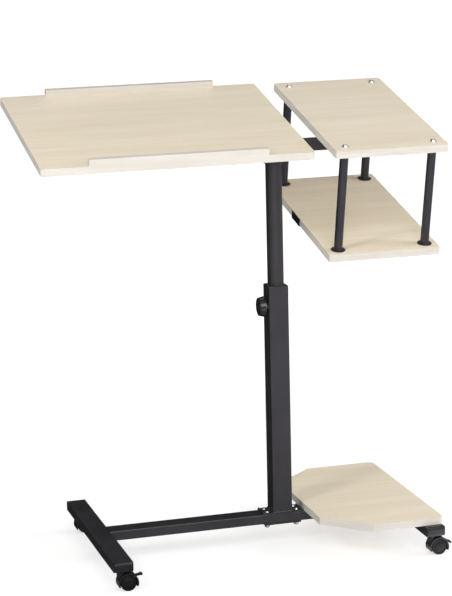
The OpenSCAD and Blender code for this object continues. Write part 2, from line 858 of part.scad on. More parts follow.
module bearer_screw_holes(places) {
  for (x = places) at_bearer_screws(x)
    cylinder(d = wood_screw_d + 2 * seat_fit, h = bearer_t + wood_screw_bite + seat_fit);
}

// Boards, in the tilting frame
module at_ledge_screws() {
  for (i = [-1 : 1], y = [front_y + ledge_d / 2, back_y - ledge_d / 2])
    translate([ledge_x0 + ledge_l / 2 + i * ledge_screw_pitch, y, under_z]) children();
}

module ledge_screw_holes() {
  sink_d = wood_screw_head_d + 2 * seat_fit;
  sink_depth = (wood_screw_head_d - wood_screw_d) / 2;
  at_ledge_screws() {
    translate([0, 0, -cut]) cylinder(d = wood_screw_d + 2 * seat_fit, h = ledge_screw_l + cut + seat_fit);
    translate([0, 0, -cut])
      cylinder(d1 = sink_d + 2 * cut, d2 = sink_d - 2 * (sink_depth + cut), h = sink_depth + 2 * cut);
  }
}

module main_top() {
  color(maple) tilted() difference() {
    board(main_x0, main_x1, front_y, back_y, under_z);
    bearer_screw_holes([-left_bearer_x, -middle_bearer_x]);
    ledge_screw_holes();
  }
}

module ledge(y) {
  color(edge_cream) tilted() difference() {
    translate([ledge_x0, y, surface_z]) cube([ledge_l, ledge_d, ledge_h]);
    ledge_screw_holes();
  }
}

module front_ledge() {
  ledge(front_y);
}

module back_ledge() {
  ledge(back_y - ledge_d);
}

module ledge_screws() {
  color(bright_steel) tilted() at_ledge_screws()
    sunk_screw(wood_screw_d, wood_screw_head_d, ledge_screw_l);
}

module rod_screw_holes(z) {
  at_rods() translate([0, 0, z - cut]) cylinder(d = dome_screw_d + hole_extra, h = board_t + 2 * cut);
}

module side_shelf() {
  color(maple) tilted() difference() {
    board(shelf_x0, shelf_x1, shelf_y0, shelf_y1, under_z);
    rod_screw_holes(under_z);
    bearer_screw_holes([side_bearer_x]);
  }
}

module lower_shelf() {
  color(maple) tilted() difference() {
    board(shelf_x0, shelf_x1, shelf_y0, shelf_y1, lower_z);
    rod_screw_holes(lower_z);
  }
}

// Rods and their fixings, in the tilting frame
module shelf_rods() {
  color(black_steel) tilted() at_rods() translate([0, 0, lower_top_z]) difference() {
    cylinder(d = rod_d, h = shelf_clear);
    translate([0, 0, -cut]) cylinder(d = rod_d - 2 * rod_wall, h = shelf_clear + 2 * cut);
  }
}

module rod_inserts() {
  color(bright_steel) tilted() at_rods() for (z = [lower_top_z, under_z - insert_l])
    translate([0, 0, z]) difference() {
      cylinder(d = rod_d - 2 * rod_wall - 2 * seat_fit, h = insert_l);
      translate([0, 0, -cut]) cylinder(d = dome_screw_d + 2 * seat_fit, h = insert_l + 2 * cut);
    }
}

module rod_flanges() {
  // The upper rim is eased by a short cone
  color(black_steel) tilted() at_rods() translate([0, 0, lower_top_z]) difference() {
    union() {
      cylinder(d = flange_d, h = flange_h - flange_ease + eps);
      translate([0, 0, flange_h - flange_ease])
        cylinder(d1 = flange_d, d2 = flange_d - 2 * flange_ease, h = flange_ease);
    }
    translate([0, 0, -cut]) cylinder(d = rod_d + 2 * seat_fit, h = flange_h + 2 * cut);
  }
}

module dome_screw() {
  // Head up, its seat at Z = 0
  dome_r = (pow(dome_head_d / 2, 2) + pow(dome_head_h, 2)) / (2 * dome_head_h);
  difference() {
    rotate_extrude() intersection() {
      translate([0, dome_head_h - dome_r]) circle(dome_r);
      square([dome_head_d / 2, dome_head_h]);
    }
    for (turn = [0, 90]) rotate([0, 0, turn])
      translate([-dome_slot_l / 2, -dome_slot_w / 2, dome_head_h - dome_slot_depth])
        cube([dome_slot_l, dome_slot_w, dome_head_h]);
  }
  translate([0, 0, -board_t - insert_l]) cylinder(d = dome_screw_d, h = board_t + insert_l + eps);
}

module shelf_top_screws() {
  color(bright_steel) tilted() at_rods() translate([0, 0, surface_z]) dome_screw();
}

module shelf_bottom_screws() {
  color(bright_steel) tilted() at_rods() translate([0, 0, lower_z]) rotate([180, 0, 0]) dome_screw();
}

module cable_clip() {
  // A J-shaped clip on the lower shelf's left edge, with its lip under the board
  color(black_plastic) tilted()
    translate([shelf_x0 - clip_t - seat_fit, clip_y - clip_l / 2, lower_z - clip_t - seat_fit]) {
      cube([clip_t, clip_l, clip_t + seat_fit + board_t - clip_drop]);
      cube([clip_t + seat_fit + clip_lip, clip_l, clip_t]);
    }
}

// Castors, in a frame with the swivel axis at the origin and the wheels offset to +X
module castor_socket() {
  color(black_plastic) difference() {
    union() {
      translate([0, 0, castor_h - socket_flange_t]) cylinder(d = socket_flange_d, h = socket_flange_t);
      translate([0, 0, castor_h - eps]) cylinder(d = socket_d, h = socket_depth_in_tube + eps);
    }
    translate([0, 0, castor_h - socket_flange_t - cut])
      cylinder(r = stem_d / 2 + run_fit, h = socket_flange_t + socket_depth_in_tube + 2 * cut);
  }
}

module castor_sockets() {
  at_front_left() castor_socket();
  at_front_right() castor_socket();
  at_back_left() castor_socket();
  at_back_right() castor_socket();
}

module castor_stem() {
  stem_z = hood_stem_z;
  color(bright_steel) translate([0, 0, stem_z])
    cylinder(d = stem_d, h = castor_h + socket_depth_in_tube - stem_z - seat_fit);
}

module castor_hood(braked) {
  color(black_plastic) difference() {
    union() {
      translate([castor_trail, -hood_half_y, wheel_r]) bar_y(hood_r, 2 * hood_half_y);
      translate([0, 0, neck_z]) cylinder(d = neck_d, h = neck_top - neck_z);
    }
    for (y = [-hood_half_y - cut, web_t / 2])
      translate([castor_trail, y, wheel_r]) bar_y(hood_in_r, hood_half_y - web_t / 2 + cut);
    translate([castor_trail - 2 * hood_r, -hood_half_y - cut, -hood_r])
      cube([4 * hood_r, 2 * (hood_half_y + cut), hood_r + hood_skirt_z]);
    translate([castor_trail, -web_t / 2 - cut, wheel_r]) bar_y(axle_d / 2 + seat_fit, web_t + 2 * cut);
    translate([0, 0, hood_stem_z - seat_fit]) cylinder(r = stem_d / 2 + seat_fit, h = castor_h);
    if (braked) {
      translate([lever_x, -lever_w / 2 - lever_gap, lever_z])
        bar_y(lever_eye_r + lever_pocket, lever_w + 2 * lever_gap);
      translate([lever_x, -lever_pin_half - lever_gap, lever_z])
        bar_y(lever_pin_r + lever_pin_run, 2 * (lever_pin_half + lever_gap));
    }
  }
}

module castor_axle() {
  half = wheel_in_y + wheel_w;
  color(bright_steel) translate([castor_trail, -half, wheel_r]) bar_y(axle_d / 2, 2 * half);
}

module wheel_profile() {
  // Half section with a rounded tread and a shallow dish in the outer face
  edge_r = 2;
  dish = 1;
  bore = axle_d / 2 + run_fit;
  translate([bore, 0]) square([wheel_r - edge_r - bore, wheel_w - dish]);
  translate([wheel_r - edge_r - eps, edge_r]) square([edge_r + eps, wheel_w - 2 * edge_r]);
  for (y = [edge_r, wheel_w - edge_r]) translate([wheel_r - edge_r, y]) circle(edge_r);
  translate([wheel_r - 2 * edge_r, 0]) square([edge_r, wheel_w]);
  translate([bore, 0]) square([axle_d / 2 + 1, wheel_w]);
}

module castor_wheels() {
  color(grey_wheel) for (side = [0, 180])
    translate([castor_trail, 0, wheel_r]) rotate([0, 0, side])
      translate([0, wheel_in_y, 0]) rotate([-90, 0, 0]) rotate_extrude() wheel_profile();
}

// The turned-up tip of a brake lever, from above to below
function lever_tip() = [
  [lever_l - 2, lever_top + 0.5], [lever_l, lever_tip_top], [lever_l - 0.8, -lever_t / 2]
];

module castor_brake(rise) {
  // Foot lever hinged in the hood's rim; it points away from the swivel axis
  color(black_plastic) translate([lever_x, 0, lever_z]) rotate([0, -rise, 0]) {
    translate([0, -lever_w / 2, 0]) along_y(lever_w) {
      circle(lever_eye_r);
      polygon([[0, lever_top], [lever_l / 2, lever_top], each lever_tip(), [lever_l / 2, -lever_t],
               [0, -lever_t]]);
    }
    translate([0, -lever_pad_w / 2, 0]) along_y(lever_pad_w)
      polygon([[lever_l - lever_pad_l, lever_top + 0.2], each lever_tip(), [lever_l - lever_pad_l, -0.8]]);
    translate([0, -lever_pin_half, 0]) bar_y(lever_pin_r, 2 * lever_pin_half);
  }
}

base_beam();
left_foot_tube();
right_foot_tube();
foot_end_caps();
foot_board();
foot_board_screws();
post_tube();
post_base_plate();
post_gussets();
lower_clamp_plate();
base_bolts();
base_nuts();
post_guide_bush();
post_weld_nut();
height_knob();
height_knob_stud();
castor_sockets();
at_front_left() castor_hood(true);  // castor_front_left_hood
at_front_left() castor_stem();  // castor_front_left_stem
at_front_left() castor_axle();  // castor_front_left_axle
at_front_left() castor_wheels();  // castor_front_left_wheels
at_front_left() castor_brake(left_lever_rise);  // castor_front_left_brake
at_front_right() castor_hood(true);  // castor_front_right_hood
at_front_right() castor_stem();  // castor_front_right_stem
at_front_right() castor_axle();  // castor_front_right_axle
at_front_right() castor_wheels();  // castor_front_right_wheels
at_front_right() castor_brake(right_lever_rise);  // castor_front_right_brake
at_back_left() castor_hood(false);  // castor_back_left_hood
at_back_left() castor_stem();  // castor_back_left_stem
at_back_left() castor_axle();  // castor_back_left_axle
at_back_left() castor_wheels();  // castor_back_left_wheels
at_back_right() castor_hood(false);  // castor_back_right_hood
at_back_right() castor_stem();  // castor_back_right_stem
at_back_right() castor_axle();  // castor_back_right_axle
at_back_right() castor_wheels();  // castor_back_right_wheels
inner_guide();
mast_tube();
mast_head();
tilt_clamp_bolt();
tilt_knob();
tilt_hub();
cross_arm();
arm_end_caps();
left_bearer();
middle_bearer();
side_bearer();
bearer_screws();
main_top();
front_ledge();
back_ledge();
ledge_screws();
side_shelf();
lower_shelf();
shelf_rods();
rod_inserts();
rod_flanges();
shelf_top_screws();
shelf_bottom_screws();
cable_clip();
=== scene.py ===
# %% [markdown]
# # An adjustable table on castors
#
# The real table is a flat-pack product: melamine-faced boards on a powder-coated steel frame, with black
# plastic knobs, caps and castors. Its solids come from an engineering model that is already in metres, so
# this script only dresses them. It gives each material its own nodes, eases the hard edges that a factory
# would ease, rebuilds a few small forms that are too soft for a drawing, lays the weld beads that hold
# the steel together, and sets up the camera and the light.

# %% [markdown]
# ## The frame
#
# One call brings in the solids, each on its moving body.

# %% Load the frame
import json
import math

import bmesh
import bpy
from mathutils import Matrix, Vector

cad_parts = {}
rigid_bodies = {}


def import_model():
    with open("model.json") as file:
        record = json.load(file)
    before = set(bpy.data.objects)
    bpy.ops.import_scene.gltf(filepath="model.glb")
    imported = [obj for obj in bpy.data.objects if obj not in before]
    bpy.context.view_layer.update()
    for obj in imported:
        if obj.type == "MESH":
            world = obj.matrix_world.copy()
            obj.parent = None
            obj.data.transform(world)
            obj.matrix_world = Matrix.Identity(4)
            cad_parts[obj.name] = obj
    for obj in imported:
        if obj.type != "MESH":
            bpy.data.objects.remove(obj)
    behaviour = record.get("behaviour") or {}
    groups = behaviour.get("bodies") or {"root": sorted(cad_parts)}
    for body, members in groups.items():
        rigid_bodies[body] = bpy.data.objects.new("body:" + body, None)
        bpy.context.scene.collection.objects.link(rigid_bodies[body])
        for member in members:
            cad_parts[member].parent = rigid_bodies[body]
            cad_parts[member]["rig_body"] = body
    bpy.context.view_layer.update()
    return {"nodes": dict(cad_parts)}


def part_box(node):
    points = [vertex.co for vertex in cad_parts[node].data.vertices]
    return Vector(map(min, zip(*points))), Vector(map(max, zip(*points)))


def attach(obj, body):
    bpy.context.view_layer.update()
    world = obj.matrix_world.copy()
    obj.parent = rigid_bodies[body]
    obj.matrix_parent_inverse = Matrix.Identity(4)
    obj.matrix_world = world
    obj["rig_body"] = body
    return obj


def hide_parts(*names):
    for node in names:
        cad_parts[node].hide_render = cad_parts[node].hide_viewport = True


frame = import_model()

# %% [markdown]
# ## Where things are
#
# Every length below is in millimetres, as on a drawing, and one function turns it to metres. The tops
# lean by 13 degrees about a horizontal axis above the mast. A second function takes a point in the
# leaning frame, with its origin on that axis, to the world. Two directions of that frame are named as
# well, because boards, flanges and beads all need them.

# %% Measures
MM = 0.001
LEAN = math.radians(13)
HINGE_Z = 817.0


def span(cad_node):
    """A CAD node's lowest and highest corners, in mm."""
    low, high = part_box(cad_node)
    return low / MM, high / MM


mast_low, mast_high = span("mast_tube")
MAST_X, MAST_Y = (mast_low.x + mast_high.x) / 2, (mast_low.y + mast_high.y) / 2


def mast_point(x, y, z):
    """A point given from the mast's axis and the floor, in mm, as world metres."""
    return Vector((MAST_X + x, MAST_Y + y, z)) * MM


def lean_point(x, y, z):
    """A point given in the leaning frame of the tops, in mm, as world metres."""
    level_y = y * math.cos(LEAN) - z * math.sin(LEAN)
    return mast_point(x, level_y, HINGE_Z + y * math.sin(LEAN) + z * math.cos(LEAN))


X, Y, Z = Vector((1, 0, 0)), Vector((0, 1, 0)), Vector((0, 0, 1))
LEAN_Y = Vector((0, math.cos(LEAN), math.sin(LEAN)))
LEAN_Z = Vector((0, -math.sin(LEAN), math.cos(LEAN)))
print("tilt axis at", [round(v, 4) for v in mast_point(0, 0, HINGE_Z)])

# %% [markdown]
# ## Camera
#
# A photograph taken with a long lens from a few steps away shows little perspective. The camera stands
# about four metres from the table, a little to its left and above it, and is turned a touch about its own
# axis, as a hand-held or hastily levelled camera is. Yaw, pitch and roll are easier to reason about than
# a matrix, so the matrix is built from them.

# %% Camera
CAMERA_AT = mast_point(-1259.4, -4083.1, 1404.2)
YAW, PITCH, ROLL = math.radians(15.793), math.radians(11.8), math.radians(1.366)
FOCAL_PIXELS, PHOTO_HEIGHT = 2165.3, 596
SENSOR, FAR_CLIP = 36.0, 200

ahead = Vector((math.sin(YAW) * math.cos(PITCH), math.cos(YAW) * math.cos(PITCH), -math.sin(PITCH)))
level_right = Vector((math.cos(YAW), -math.sin(YAW), 0))
level_down = ahead.cross(level_right)
right = math.cos(ROLL) * level_right + math.sin(ROLL) * level_down
down = math.cos(ROLL) * level_down - math.sin(ROLL) * level_right

lens = bpy.data.cameras.new("camera")
lens.sensor_fit = "VERTICAL"
lens.sensor_height = SENSOR
lens.lens = FOCAL_PIXELS / PHOTO_HEIGHT * SENSOR
lens.clip_end = FAR_CLIP
camera = bpy.data.objects.new("camera", lens)
bpy.context.collection.objects.link(camera)
camera.matrix_world = Matrix.Translation(CAMERA_AT) @ Matrix((right, -down, -ahead)).transposed().to_4x4()
bpy.context.scene.camera = camera
print("lens %.1f mm" % lens.lens)

# %% [markdown]
# ## Colours and nodes
#
# Colours are written as on a colour chart, in sRGB hex, but shaders calculate with light, so one function
# turns them linear. A second adds a single node, which keeps every node tree below as short as its
# drawing.

# %% The node helper and the colours
def linear(hex_colour):
    """An sRGB hex value as a linear RGBA tuple, which is what a shader expects."""
    parts = [int(hex_colour[i:i + 2], 16) / 255 for i in (0, 2, 4)]
    return tuple(v / 12.92 if v <= 0.04045 else ((v + 0.055) / 1.055) ** 2.4 for v in parts) + (1.0,)


def node(tree, kind, settings=None, links=None):
    """Add one shader node. Settings fill its options and open sockets, links feed its sockets."""
    made = tree.nodes.new("ShaderNode" + kind)
    for key, value in (settings or {}).items():
        if isinstance(key, str) and hasattr(made, key):
            setattr(made, key, value)
        else:
            made.inputs[key].default_value = value
    for key, source in (links or {}).items():
        tree.links.new(source, made.inputs[key])
    return made


print("mid grey is", [round(v, 3) for v in linear("808080")])

# %% [markdown]
# ## The sky of the studio
#
# Whatever the sky lights gets an even white. What shines is treated apart, with a Light Path node that
# says which kind of ray is asking: black paint looks rich only when it has something dark to mirror, so
# photographers hang white cloth in front of a black thing and black cloth behind it.

# %% World
SKY_FILL = 0.50
SHINE_BEHIND, SHINE_IN_FRONT = 0.03, 1.05
WHITE_CLOTH = Vector((0.35, -0.94, 0.0)).normalized()
DARK_FROM, WHITE_FROM = -0.75, 0.85
COOL_WHITE = "FBF6FF"

world = bpy.data.worlds.new("studio")
world.use_nodes = True
bpy.context.scene.world = world
sky = world.node_tree
sky.nodes.clear()
even_sky = node(sky, "Background", {"Color": linear("FFFFFF"), "Strength": SKY_FILL})
heading = node(sky, "TexCoord")
frontness = node(sky, "VectorMath", {"operation": "DOT_PRODUCT", 1: WHITE_CLOTH},
                 {0: heading.outputs["Generated"]})
cloths = node(sky, "MapRange", {"interpolation_type": "SMOOTHSTEP", "From Min": DARK_FROM,
                                "From Max": WHITE_FROM, "To Min": SHINE_BEHIND, "To Max": SHINE_IN_FRONT},
              {"Value": frontness.outputs["Value"]})
shine = node(sky, "Background", {"Color": linear(COOL_WHITE)}, {"Strength": cloths.outputs[0]})
ray = node(sky, "LightPath")
both = node(sky, "MixShader", links={0: ray.outputs["Is Glossy Ray"], 1: even_sky.outputs[0],
                                     2: shine.outputs[0]})
node(sky, "OutputWorld", links={"Surface": both.outputs[0]})
print("sky", SKY_FILL, "for light,", SHINE_BEHIND, "to", SHINE_IN_FRONT, "for shine")

# %% [markdown]
# ## Softboxes
#
# A broad key light comes from the front. A small one from the left front draws the soft shadow of the
# post on the foot board, a low one from the right reaches under the upper shelf, and a weak one behind
# lifts the back edges. The two fills at the sides lighten only what is pale, and the overhead one only
# draws the thin bright line on a front top edge. A point lamp or a sun would draw hard shadows. An area
# lamp draws soft ones, the softer the larger it is, so that is what each softbox is.

# %% Lights
def softbox(name, at, aim, size, watts):
    """A square softbox at a point, facing another."""
    lamp = bpy.data.lights.new(name, "AREA")
    lamp.size, lamp.energy = size, watts
    lit = bpy.data.objects.new(name, lamp)
    lit.location = at
    lit.rotation_euler = (Vector(aim) - Vector(at)).to_track_quat("-Z", "Y").to_euler()
    bpy.context.collection.objects.link(lit)
    return lit


TABLE_TOP, MAST_MIDDLE, SHELF_MIDDLE = (0.0, -0.1, 0.85), (0.1, 0.0, 0.6), (0.25, 0.0, 0.7)
SOFTBOXES = {  # place and aim in metres, side in metres, watts
    "key": ((-0.2, -2.3, 1.65), TABLE_TOP, 1.3, 33),
    "rim": ((-0.8, 2.4, 2.6), TABLE_TOP, 1.2, 8),
    "left_fill": ((-2.1, -1.4, 2.2), MAST_MIDDLE, 0.6, 30),
    "right_fill": ((2.2, -0.5, 1.2), SHELF_MIDDLE, 1.2, 34),
    "edge_shine": ((0.95, -0.95, 3.3), TABLE_TOP, 1.4, 45),
}
hung = {name: softbox(name, *setting) for name, setting in SOFTBOXES.items()}
for name in ("left_fill", "right_fill"):
    hung[name].visible_camera = hung[name].visible_glossy = False
hung["edge_shine"].visible_camera = hung["edge_shine"].visible_diffuse = False

# %% [markdown]
# ## Floor
#
# Catalogue tables glow from below, so that the floor washes out and keeps only the deepest shadows. Near
# the table the acrylic is greyer, which lets the shadows show under the strong lights, and further out it
# is nearly white. A plain white sheet would turn grey away from the lights, so its colour is graded by
# the distance from the middle and a glow is added to it.

# %% Floor
FLOOR_RADIUS, FLOOR_SIDES = 45.0, 96
FLOOR_GLOW = 0.60
NEAR_GREY, FAR_GREY = 0.43, 0.92
NEAR_RADIUS, FAR_RADIUS = 0.8, 2.4

floor_mesh = bpy.data.meshes.new("floor")
turns = [math.tau * i / FLOOR_SIDES for i in range(FLOOR_SIDES)]
ring = [(FLOOR_RADIUS * math.cos(a), FLOOR_RADIUS * math.sin(a), 0) for a in turns]
floor_mesh.from_pydata(ring, [], [list(range(FLOOR_SIDES))])
floor = bpy.data.objects.new("floor", floor_mesh)
bpy.context.collection.objects.link(floor)
floor.visible_glossy = False
acrylic = bpy.data.materials.new("glowing_white_acrylic_floor")
acrylic.use_nodes = True
sheet = acrylic.node_tree
surface = sheet.nodes["Principled BSDF"]
for socket, value in {"Roughness": 0.9, "Specular IOR Level": 0.0, "Emission Color": linear("FFFFFF"),
                      "Emission Strength": FLOOR_GLOW}.items():
    surface.inputs[socket].default_value = value
around = node(sheet, "TexCoord")
far_off = node(sheet, "VectorMath", {"operation": "LENGTH"}, {0: around.outputs["Object"]})
grey = node(sheet, "MapRange", {"interpolation_type": "SMOOTHSTEP", "From Min": NEAR_RADIUS,
                                "From Max": FAR_RADIUS, "To Min": NEAR_GREY, "To Max": FAR_GREY},
            {"Value": far_off.outputs["Value"]})
sheet.links.new(grey.outputs[0], surface.inputs["Base Color"])
floor_mesh.materials.append(acrylic)
# The default colour transform would grey a white floor, the standard one keeps it white
bpy.context.scene.view_settings.view_transform = "Standard"
print("floor", FLOOR_RADIUS, "m round")

# %% [markdown]
# ## Backdrop
#
# Seen from low down, the picture reaches past the floor. A round white wall far away closes it. Only a
# look from the lens meets the wall, for all other rays it isn't there, so it changes neither the light
# nor the shine.

# %% Round backdrop
WALL_RADIUS, WALL_HEIGHT = 40.0, 30.0

wall_points = [(WALL_RADIUS * math.cos(a), WALL_RADIUS * math.sin(a), z) for z in (0, WALL_HEIGHT)
               for a in turns]
wall_faces = [(i, (i + 1) % FLOOR_SIDES, FLOOR_SIDES + (i + 1) % FLOOR_SIDES, FLOOR_SIDES + i)
              for i in range(FLOOR_SIDES)]
wall_mesh = bpy.data.meshes.new("backdrop")
wall_mesh.from_pydata(wall_points, [], wall_faces)
wall = bpy.data.objects.new("backdrop", wall_mesh)
bpy.context.collection.objects.link(wall)
wall.visible_diffuse = wall.visible_glossy = wall.visible_shadow = wall.visible_transmission = False
wall_paint = bpy.data.materials.new("matt_white_wall")
wall_paint.use_nodes = True
wall_paint.node_tree.nodes.clear()
even_white = node(wall_paint.node_tree, "Emission", {"Color": linear("FFFFFF"), "Strength": 1.0})
node(wall_paint.node_tree, "OutputMaterial", links={"Surface": even_white.outputs[0]})
wall_mesh.materials.append(wall_paint)
print("backdrop", WALL_HEIGHT, "m high")

# %% [markdown]
# ## A card for the reflections
#
# Upright black faces, seen from above, mirror the floor in front of them: the top of the post mirrors it
# two metres out and the beam only a hand's breadth away, where the table's own shade lies. That is why
# the paint darkens towards the ground. The floor's white would be too bright in a mirror, so a card that
# only reflections see lies just under it, dim beside the table and white further out, with one small
# bright spot in front of the right castor. The card is a painted reflection: it glows but lights nothing,
# its dim strip paints the table's shade into the mirrored floor, and its spot paints a highlight on the
# right castor.

# %% Reflection card
CARD_NEAR, CARD_FAR, CARD_HALF_WIDTH, CARD_Z = -0.1, -9.0, 8.0, -0.002
FADE_FROM, FADE_TO = -0.15, -1.7
SHADE_SHARE = 0.5
SPOT_AT, SPOT_INNER, SPOT_OUTER, SPOT_SHINE = (0.52, -0.33, CARD_Z), 0.1, 0.3, 4.2

card_mesh = bpy.data.meshes.new("reflection_card")
card_corners = [(-CARD_HALF_WIDTH, CARD_FAR, CARD_Z), (CARD_HALF_WIDTH, CARD_FAR, CARD_Z),
                (CARD_HALF_WIDTH, CARD_NEAR, CARD_Z), (-CARD_HALF_WIDTH, CARD_NEAR, CARD_Z)]
card_mesh.from_pydata(card_corners, [], [(0, 1, 2, 3)])
card = bpy.data.objects.new("reflection_card", card_mesh)
bpy.context.collection.objects.link(card)
card.visible_camera = card.visible_diffuse = card.visible_shadow = False
painted_reflection = bpy.data.materials.new("painted_reflection_card")
painted_reflection.use_nodes = True
shades = painted_reflection.node_tree
shades.nodes.clear()
here = node(shades, "TexCoord").outputs["Object"]
lies_at = node(shades, "SeparateXYZ", links={0: here})
# Painted shade in the reflections: the card is dim beside the table and white further out.
fade = node(shades, "MapRange", {"interpolation_type": "SMOOTHSTEP", "From Min": FADE_FROM,
                                 "From Max": FADE_TO, "To Min": SHINE_IN_FRONT * SHADE_SHARE,
                                 "To Max": SHINE_IN_FRONT}, {"Value": lies_at.outputs["Y"]})
# Painted highlight: a glowing spot that only reflections see brightens the right castor.
from_spot = node(shades, "VectorMath", {"operation": "DISTANCE", 1: SPOT_AT}, {0: here})
spot = node(shades, "MapRange", {"interpolation_type": "SMOOTHSTEP", "From Min": SPOT_OUTER,
                                 "From Max": SPOT_INNER, "To Max": SPOT_SHINE},
            {"Value": from_spot.outputs["Value"]})
shine_here = node(shades, "Math", {"operation": "ADD"}, {0: fade.outputs[0], 1: spot.outputs[0]})
glow = node(shades, "Emission", {"Color": linear(COOL_WHITE)}, {"Strength": shine_here.outputs[0]})
node(shades, "OutputMaterial", links={"Surface": glow.outputs[0]})
card_mesh.materials.append(painted_reflection)
print("card from", CARD_NEAR, "to", CARD_FAR, "m")

# %% [markdown]
# ## How a finish is built
#
# Every finish below starts the same way: a Principled shader, an output, and the object's own
# coordinates, so that a pattern sticks to its piece while the table moves. The coordinates are in metres,
# so a pattern that repeats every few millimetres is scaled by one over that size. Small helpers say the
# three things that all finishes share: a noise of a real size, a blend between two colours, and a height
# turned into a bump.

# %% Shader, noise and range
def start_finish(name, **sockets):
    """A material with a Principled shader, and its plain numbers set on the shader's own sockets."""
    made = bpy.data.materials.new(name)
    made.use_nodes = True
    tree = made.node_tree
    shader = tree.nodes["Principled BSDF"]
    for key, value in sockets.items():
        shader.inputs[key.replace("_", " ")].default_value = value
    return made, tree, shader


def noise(tree, sizes_mm, detail=3.0, rough=0.55):
    """A noise whose features have these sizes in mm along X, Y and Z."""
    where = node(tree, "TexCoord")
    scale = tuple(1 / (s * MM) for s in sizes_mm)
    sized = node(tree, "Mapping", {"Scale": scale}, {"Vector": where.outputs["Object"]})
    made = node(tree, "TexNoise", {"Scale": 1.0, "Detail": detail, "Roughness": rough},
                {"Vector": sized.outputs[0]})
    return made.outputs["Fac"]


def spread(tree, value, low, high, to_low=0.0, to_high=1.0):
    """A value's range from low to high, stretched to another and held there."""
    made = node(tree, "MapRange", {"From Min": low, "From Max": high, "To Min": to_low, "To Max": to_high},
                {"Value": value})
    return made.outputs[0]


print("patterns are sized in mm,", 1 / MM, "to the metre")

# %% Blends, bumps and worn edges
COLOUR_A, COLOUR_B, COLOUR_RESULT = 6, 7, 2  # a Mix node has sockets for every kind of data


def blend_colours(tree, factor, a, b):
    """Colour a at a factor of 0 and colour b at 1. Each is a hex value or another node's colour."""
    made = node(tree, "Mix", {"data_type": "RGBA"}, {"Factor": factor})
    for socket, colour in ((COLOUR_A, a), (COLOUR_B, b)):
        if isinstance(colour, str):
            made.inputs[socket].default_value = linear(colour)
        else:
            tree.links.new(colour, made.inputs[socket])
    return made.outputs[COLOUR_RESULT]


def product(tree, a, b):
    """Two values multiplied."""
    return node(tree, "Math", {"operation": "MULTIPLY"}, {0: a, 1: b}).outputs[0]


def raise_bump(tree, shader, height, depth_mm, strength=1.0):
    """Turn a height from 0 to 1 into a bump that deep."""
    made = node(tree, "Bump", {"Strength": strength, "Distance": depth_mm * MM}, {"Height": height})
    tree.links.new(made.outputs[0], shader.inputs["Normal"])


def edge_mask(tree):
    """1 on the narrow faces that easing an edge leaves, 0 elsewhere, as stored on the mesh."""
    return node(tree, "Attribute", {"attribute_name": "eased_edge"}).outputs["Fac"]


print("helpers ready")

# %% [markdown]
# ## Melamine-faced board
#
# The boards are chipboard faced with printed melamine paper, a light maple. The real print has long soft
# bands of warmer and cooler tone, fine streaks a millimetre or two apart, and short dark pores. Resin
# seals it, so it has the even, slightly soft gloss of a hard plastic, IOR about 1.55. A photograph of
# wood could be mapped on, but a noise that is stretched along the board gives the same streaks at any
# size, and it wraps over the edges by itself. The streaks are drawn about 3 mm wide, coarser than real
# ones, because finer ones vanish in a picture this small.

# %% Maple melamine
BAND_SIZE, STREAK_SIZE, PORE_SIZE, PORE_DEPTH = (420, 38, 38), (150, 3.2, 3.2), (22, 1.1, 1.1), 0.05
PALE_MAPLE, COOL_MAPLE, STREAK_TONE, PORE_TONE = "E7DDCB", "DED2BC", "D3C6AC", "B8A484"
STREAK_SHARE, PORE_SHARE, MAPLE_ROUGH = 0.50, 0.30, (0.30, 0.40)


def maple_melamine():
    made, tree, shader = start_finish("maple_melamine", IOR=1.55, Specular_IOR_Level=0.3, Coat_Weight=0.12,
                                       Coat_Roughness=0.2)
    bands = spread(tree, noise(tree, BAND_SIZE, 2.0), 0.32, 0.68)
    streaks = spread(tree, noise(tree, STREAK_SIZE, 4.0, 0.6), 0.30, 0.70)
    pores = spread(tree, noise(tree, PORE_SIZE, 2.0), 0.60, 0.72)
    body = blend_colours(tree, bands, PALE_MAPLE, COOL_MAPLE)
    streaked = blend_colours(tree, spread(tree, streaks, 0, 1, 0.0, STREAK_SHARE), body, STREAK_TONE)
    pored = blend_colours(tree, spread(tree, pores, 0, 1, 0.0, PORE_SHARE), streaked, PORE_TONE)
    tree.links.new(pored, shader.inputs["Base Color"])
    tree.links.new(spread(tree, streaks, 0, 1, *MAPLE_ROUGH), shader.inputs["Roughness"])
    raise_bump(tree, shader, spread(tree, pores, 0, 1, 1.0, 0.0), PORE_DEPTH, 0.5)
    return made


MAPLE = maple_melamine()
print("made", MAPLE.name)

# %% [markdown]
# ## Edge band
#
# The cut edges are closed with a plastic band, melted on and scraped flush. It is paler than the print,
# almost cream, has very fine lines from the die that drew it, and is a little glossier. The scraped
# corner is lighter still, and the thin glue line beside it is what makes a board read as laminated. The
# lines are a noise that is squeezed to half a millimetre upwards and stretched along the band, and the
# scraped corner is the strip that easing leaves on the mesh.

# %% Cream edge band
DIE_LINE_SIZE, DIE_LINE_DEPTH, CREAM_PATCH_SIZE = (90, 60, 0.5), 0.03, (160, 160, 9)
PALE_CREAM, COOL_CREAM, SCRAPED_CREAM, BAND_ROUGH = "C6C1B9", "BFB9AF", "C6BDAC", (0.30, 0.42)


def cream_edge_band():
    made, tree, shader = start_finish("cream_abs_edge_band", IOR=1.53)
    lines = noise(tree, DIE_LINE_SIZE, 2.0)
    patches = spread(tree, noise(tree, CREAM_PATCH_SIZE, 2.0), 0.3, 0.7)
    tone = blend_colours(tree, patches, PALE_CREAM, COOL_CREAM)
    tree.links.new(blend_colours(tree, edge_mask(tree), tone, SCRAPED_CREAM), shader.inputs["Base Color"])
    tree.links.new(spread(tree, lines, 0.3, 0.7, *BAND_ROUGH), shader.inputs["Roughness"])
    raise_bump(tree, shader, lines, DIE_LINE_DEPTH, 0.4)
    return made


EDGE_BAND = cream_edge_band()
print("made", EDGE_BAND.name)
